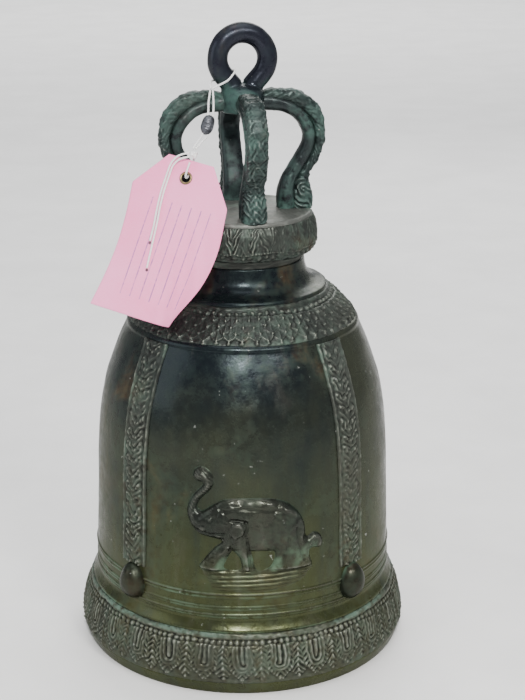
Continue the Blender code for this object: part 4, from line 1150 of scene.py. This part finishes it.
def crown():
    for name, degrees in (("front", -90), ("right", 0), ("back", 90), ("left", 180)):
        seed = 80 + degrees // 90
        for part, node, table, relief_height, stations, sides, power, finish, rough in (
            ("arm", "crown_arm", ARM_BAR, bar_relief, 150, 40, 2.5, BAR_FINISH, 0.07),
            ("crest", "arm_crest", ARM_CREST, crest_relief, 250, 52, 2.7, CROWN_FINISH, 0.17),
        ):
            points, height = swept_arm(table, degrees, stations, sides, power, relief_height)
            dents = unevenness(points, 8, seed) * 0.16 + unevenness(points, 2.0, seed + 9) * rough
            points = points + dents[..., None]
            green = 0.6 * fade(-0.1, 1.0, unevenness(points, 16, seed + 20))
            green = np.clip(green + 0.4 * fade(322, 315, points[..., 2]), 0, 0.8)
            shown = standing(height, 2, 1.3) if part == "crest" else 0.5
            place = ("bell", f"{node}_{name}")
            lofted(f"{part}_casting_{name}", points, place, finish, shown, green)


def ring():
    """The hanging ring, its two legs and the hub as one casting with soft fillets."""
    outward, sideways = crown_frame(0)
    turns = np.linspace(-RING_LEG_TURN, math.pi + RING_LEG_TURN, 90)
    bow = np.stack([RING_MEAN_RADIUS * np.cos(turns), RING_CENTRE_Z + RING_MEAN_RADIUS * np.sin(turns)], 1)
    feet = [bow[end] + unit(bow[end] - bow[before]) * RING_LEG_LENGTH for end, before in ((0, 1), (-1, -2))]
    line = resample(np.vstack([feet[0], bow, feet[1]]), 0.8)
    path = line[:, 0:1] * outward + line[:, 1:2] * UP
    bar = around_path(path, np.cross(directions(path), sideways), sideways, RING_BAR_RADIUS, 40)
    hub = turned_points(spline(HUB, 0.9), 48)
    obj = add("ring_casting", closed_mesh("ring_casting", *loft((bar, False), (hub, False))))
    remesh = obj.modifiers.new("join", "REMESH")
    remesh.mode = "VOXEL"
    remesh.voxel_size = 0.72 * MM
    soften = obj.modifiers.new("fillets", "SMOOTH")
    soften.factor = 0.5
    soften.iterations = 9
    graph = bpy.context.evaluated_depsgraph_get()
    joined = bpy.data.meshes.new_from_object(obj.evaluated_get(graph))
    obj.modifiers.clear()
    obj.data = joined
    spots = np.empty(len(joined.vertices) * 3, np.float32)
    joined.vertices.foreach_get("co", spots)
    spots = spots.reshape(-1, 3).astype(float) / MM
    away = unit(spots - (0, 0, RING_CENTRE_Z - 10))
    spots = spots + away * (unevenness(spots, 13, 91) * 0.16 + unevenness(spots, 4, 92) * 0.05)[:, None]
    joined.vertices.foreach_set("co", (spots * MM).astype(np.float32).ravel())
    green = 0.75 * fade(408, 396, spots[:, 2]) * fade(-0.5, 0.6, unevenness(spots, 9, 93))
    settle(obj, ("bell", "suspension_ring"), RING_FINISH, 0.55, green)


# ---------------------------------------------------------------- the clapper


def forged(name, outline, node, seed, flats=0):
    """A turned iron piece with hammer marks. flats makes it a nut with that many flats."""
    outline = np.asarray(outline, float)
    points = turned_points(outline, 72)
    if flats:
        flat = math.cos(math.pi / flats) / np.cos(local(around(72), TAU / flats))
        points[..., :2] *= np.where((outline[:, 0] > 5)[:, None], flat[None], 1)[..., None]
    dent = unevenness(points, 7, seed) * 0.16 + unevenness(points, 2.5, seed + 1) * 0.06
    points = points + unit(points - (0, 0, points[..., 2].mean())) * dent[..., None]
    return lofted(name, points, ("clapper", node), IRON_FINISH, closed=True)


def bar_points(path, radius, sides, closed):
    """Rings round a bar that is bent in an upright plane."""
    square = np.array((1.0, 0, 0) if np.ptp(path[:, 0]) < 0.1 else (0, 1.0, 0))
    return around_path(path, np.cross(directions(path, closed), square), square, radius, sides)


def bent_bar(name, path, radius, place, seed, closed):
    path = resample(path, 0.7)
    points = bar_points(path[:-1] if closed else path, radius, 28, closed)
    points = points + unevenness(points, 5, seed)[..., None] * 0.1
    lofted(name, points, place, IRON_FINISH, closed=closed)


def arc(centre, radius, start, end, steps=24):
    """Points of an arc in degrees, as (across, height)."""
    turn = np.radians(np.linspace(start, end, steps))
    return np.stack([centre[0] + radius * np.cos(turn), centre[1] + radius * np.sin(turn)], 1)


def upright(flat, sideways):
    """Places (across, height) points along the X axis, or along the Y axis if sideways."""
    across, height = flat.T
    return np.stack([0 * across, across, height] if sideways else [across, 0 * across, height], 1)


def clapper():
    left, right = arc((-4, 251), 8, -90, -180), arc((4, 251), 8, 0, -90)
    staple = np.vstack([(12, 264.8), (12, 251.5), right, left, (-12, 251.5), (-12, 264.8)])
    bent_bar("staple_bow", upright(staple, False), 3.5, ("bell", "clapper_staple"), 101, False)
    link_top, link_low = arc((0, LINK_TOP_Z), EYE_RADIUS, 0, 180), arc((0, 212), EYE_RADIUS, 180, 360)
    link = np.vstack([link_top, link_low, (EYE_RADIUS, LINK_TOP_Z)])
    bent_bar("link_loop", upright(link, True), 3, ("link", "clapper_link"), 102, True)

    low = EYE_Z - EYE_RADIUS
    top = ((0.5, low + 1.5), (3.2, low + 1.4), (4.8, low - 2.5), (5.2, low - 28), (6.4, low - 86))
    shaft = spline((*top, (6.8, 84), (6.8, 77)), 1.6)
    tenon = resample(((6.7, 76.4), (4, 76.3), (4, 25.4), (3, 24.2), (0.5, 24.1)), 1.5)
    rod = turned_points(np.vstack([shaft, tenon]), 40)
    eye = bar_points(upright(arc((0, EYE_Z), EYE_RADIUS, 0, 360, 72)[:-1], False), 3, 24, True)
    points, faces = loft((rod, False), (eye, True))
    points = points + unevenness(points, 6, 103)[:, None] * 0.12
    piece("clapper_shaft", points, faces, ("clapper", "clapper_rod"), IRON_FINISH)

    first = math.asin(6.5 / BALL_RADIUS)
    turns = np.linspace(first, math.pi - first, 44)
    ball = np.stack([BALL_RADIUS * np.sin(turns), BALL_Z + BALL_RADIUS * np.cos(turns)], 1)
    ball = [(BORE_RADIUS, ball[0, 1]), *ball, (BORE_RADIUS, ball[-1, 1])]
    forged("clapper_weight", ball, "clapper_ball", 105)
    top = ball[-1][1] - 0.3
    edges = ((7, 0), (7.9, 0.7), (7.9, 4.8), (7, 5.5))
    nut = [(BORE_RADIUS, top), *((radius, top - below) for radius, below in edges), (BORE_RADIUS, top - 5.5)]
    forged("clapper_hex_nut", nut, "clapper_nut", 107, flats=6)


# ---------------------------------------------------------------- the studio


def studio():
    """A pale floor under soft light, brightest from the right front."""
    mesh = bpy.data.meshes.new("floor")
    corners = [(x * FLOOR_HALF, y * FLOOR_HALF, 0) for x, y in ((-1, -1), (1, -1), (1, 1), (-1, 1))]
    mesh.from_pydata(corners, [], [(0, 1, 2, 3)])
    f = Finish("pale_floor")
    f.set("Base Color", f.mix(f.band(f.noise(60, 5, 0.6), 0.3, 0.7), (0.78, 0.77, 0.75), (0.84, 0.83, 0.81)))
    f.set("Roughness", f.band(f.noise(20, 4), 0.3, 0.7, 0.6, 0.75))
    mesh.materials.append(f.material)
    add("floor", mesh)
    world = bpy.data.worlds.new("studio")
    world.use_nodes = True
    background = world.node_tree.nodes["Background"]
    background.inputs["Color"].default_value = (0.72, 0.75, 0.8, 1)
    background.inputs["Strength"].default_value = 0.75
    bpy.context.scene.world = world
    for name, place, target, size, power, colour in LAMPS:
        lamp = bpy.data.lights.new(name, "AREA")
        lamp.shape = "RECTANGLE"
        lamp.size, lamp.size_y = size
        lamp.energy, lamp.color = power, colour
        obj = add(name, lamp)
        obj.location = place
        obj.rotation_euler = (Vector(target) - Vector(place)).to_track_quat("-Z", "Y").to_euler()


camera()
tag_and_string()
bell_body()
bands()
drum()
corner_bands()
bosses()
for facing, azimuth in (("front", -90), ("back", 90)):
    elephant(facing, azimuth)
crown()
ring()
clapper()
studio()
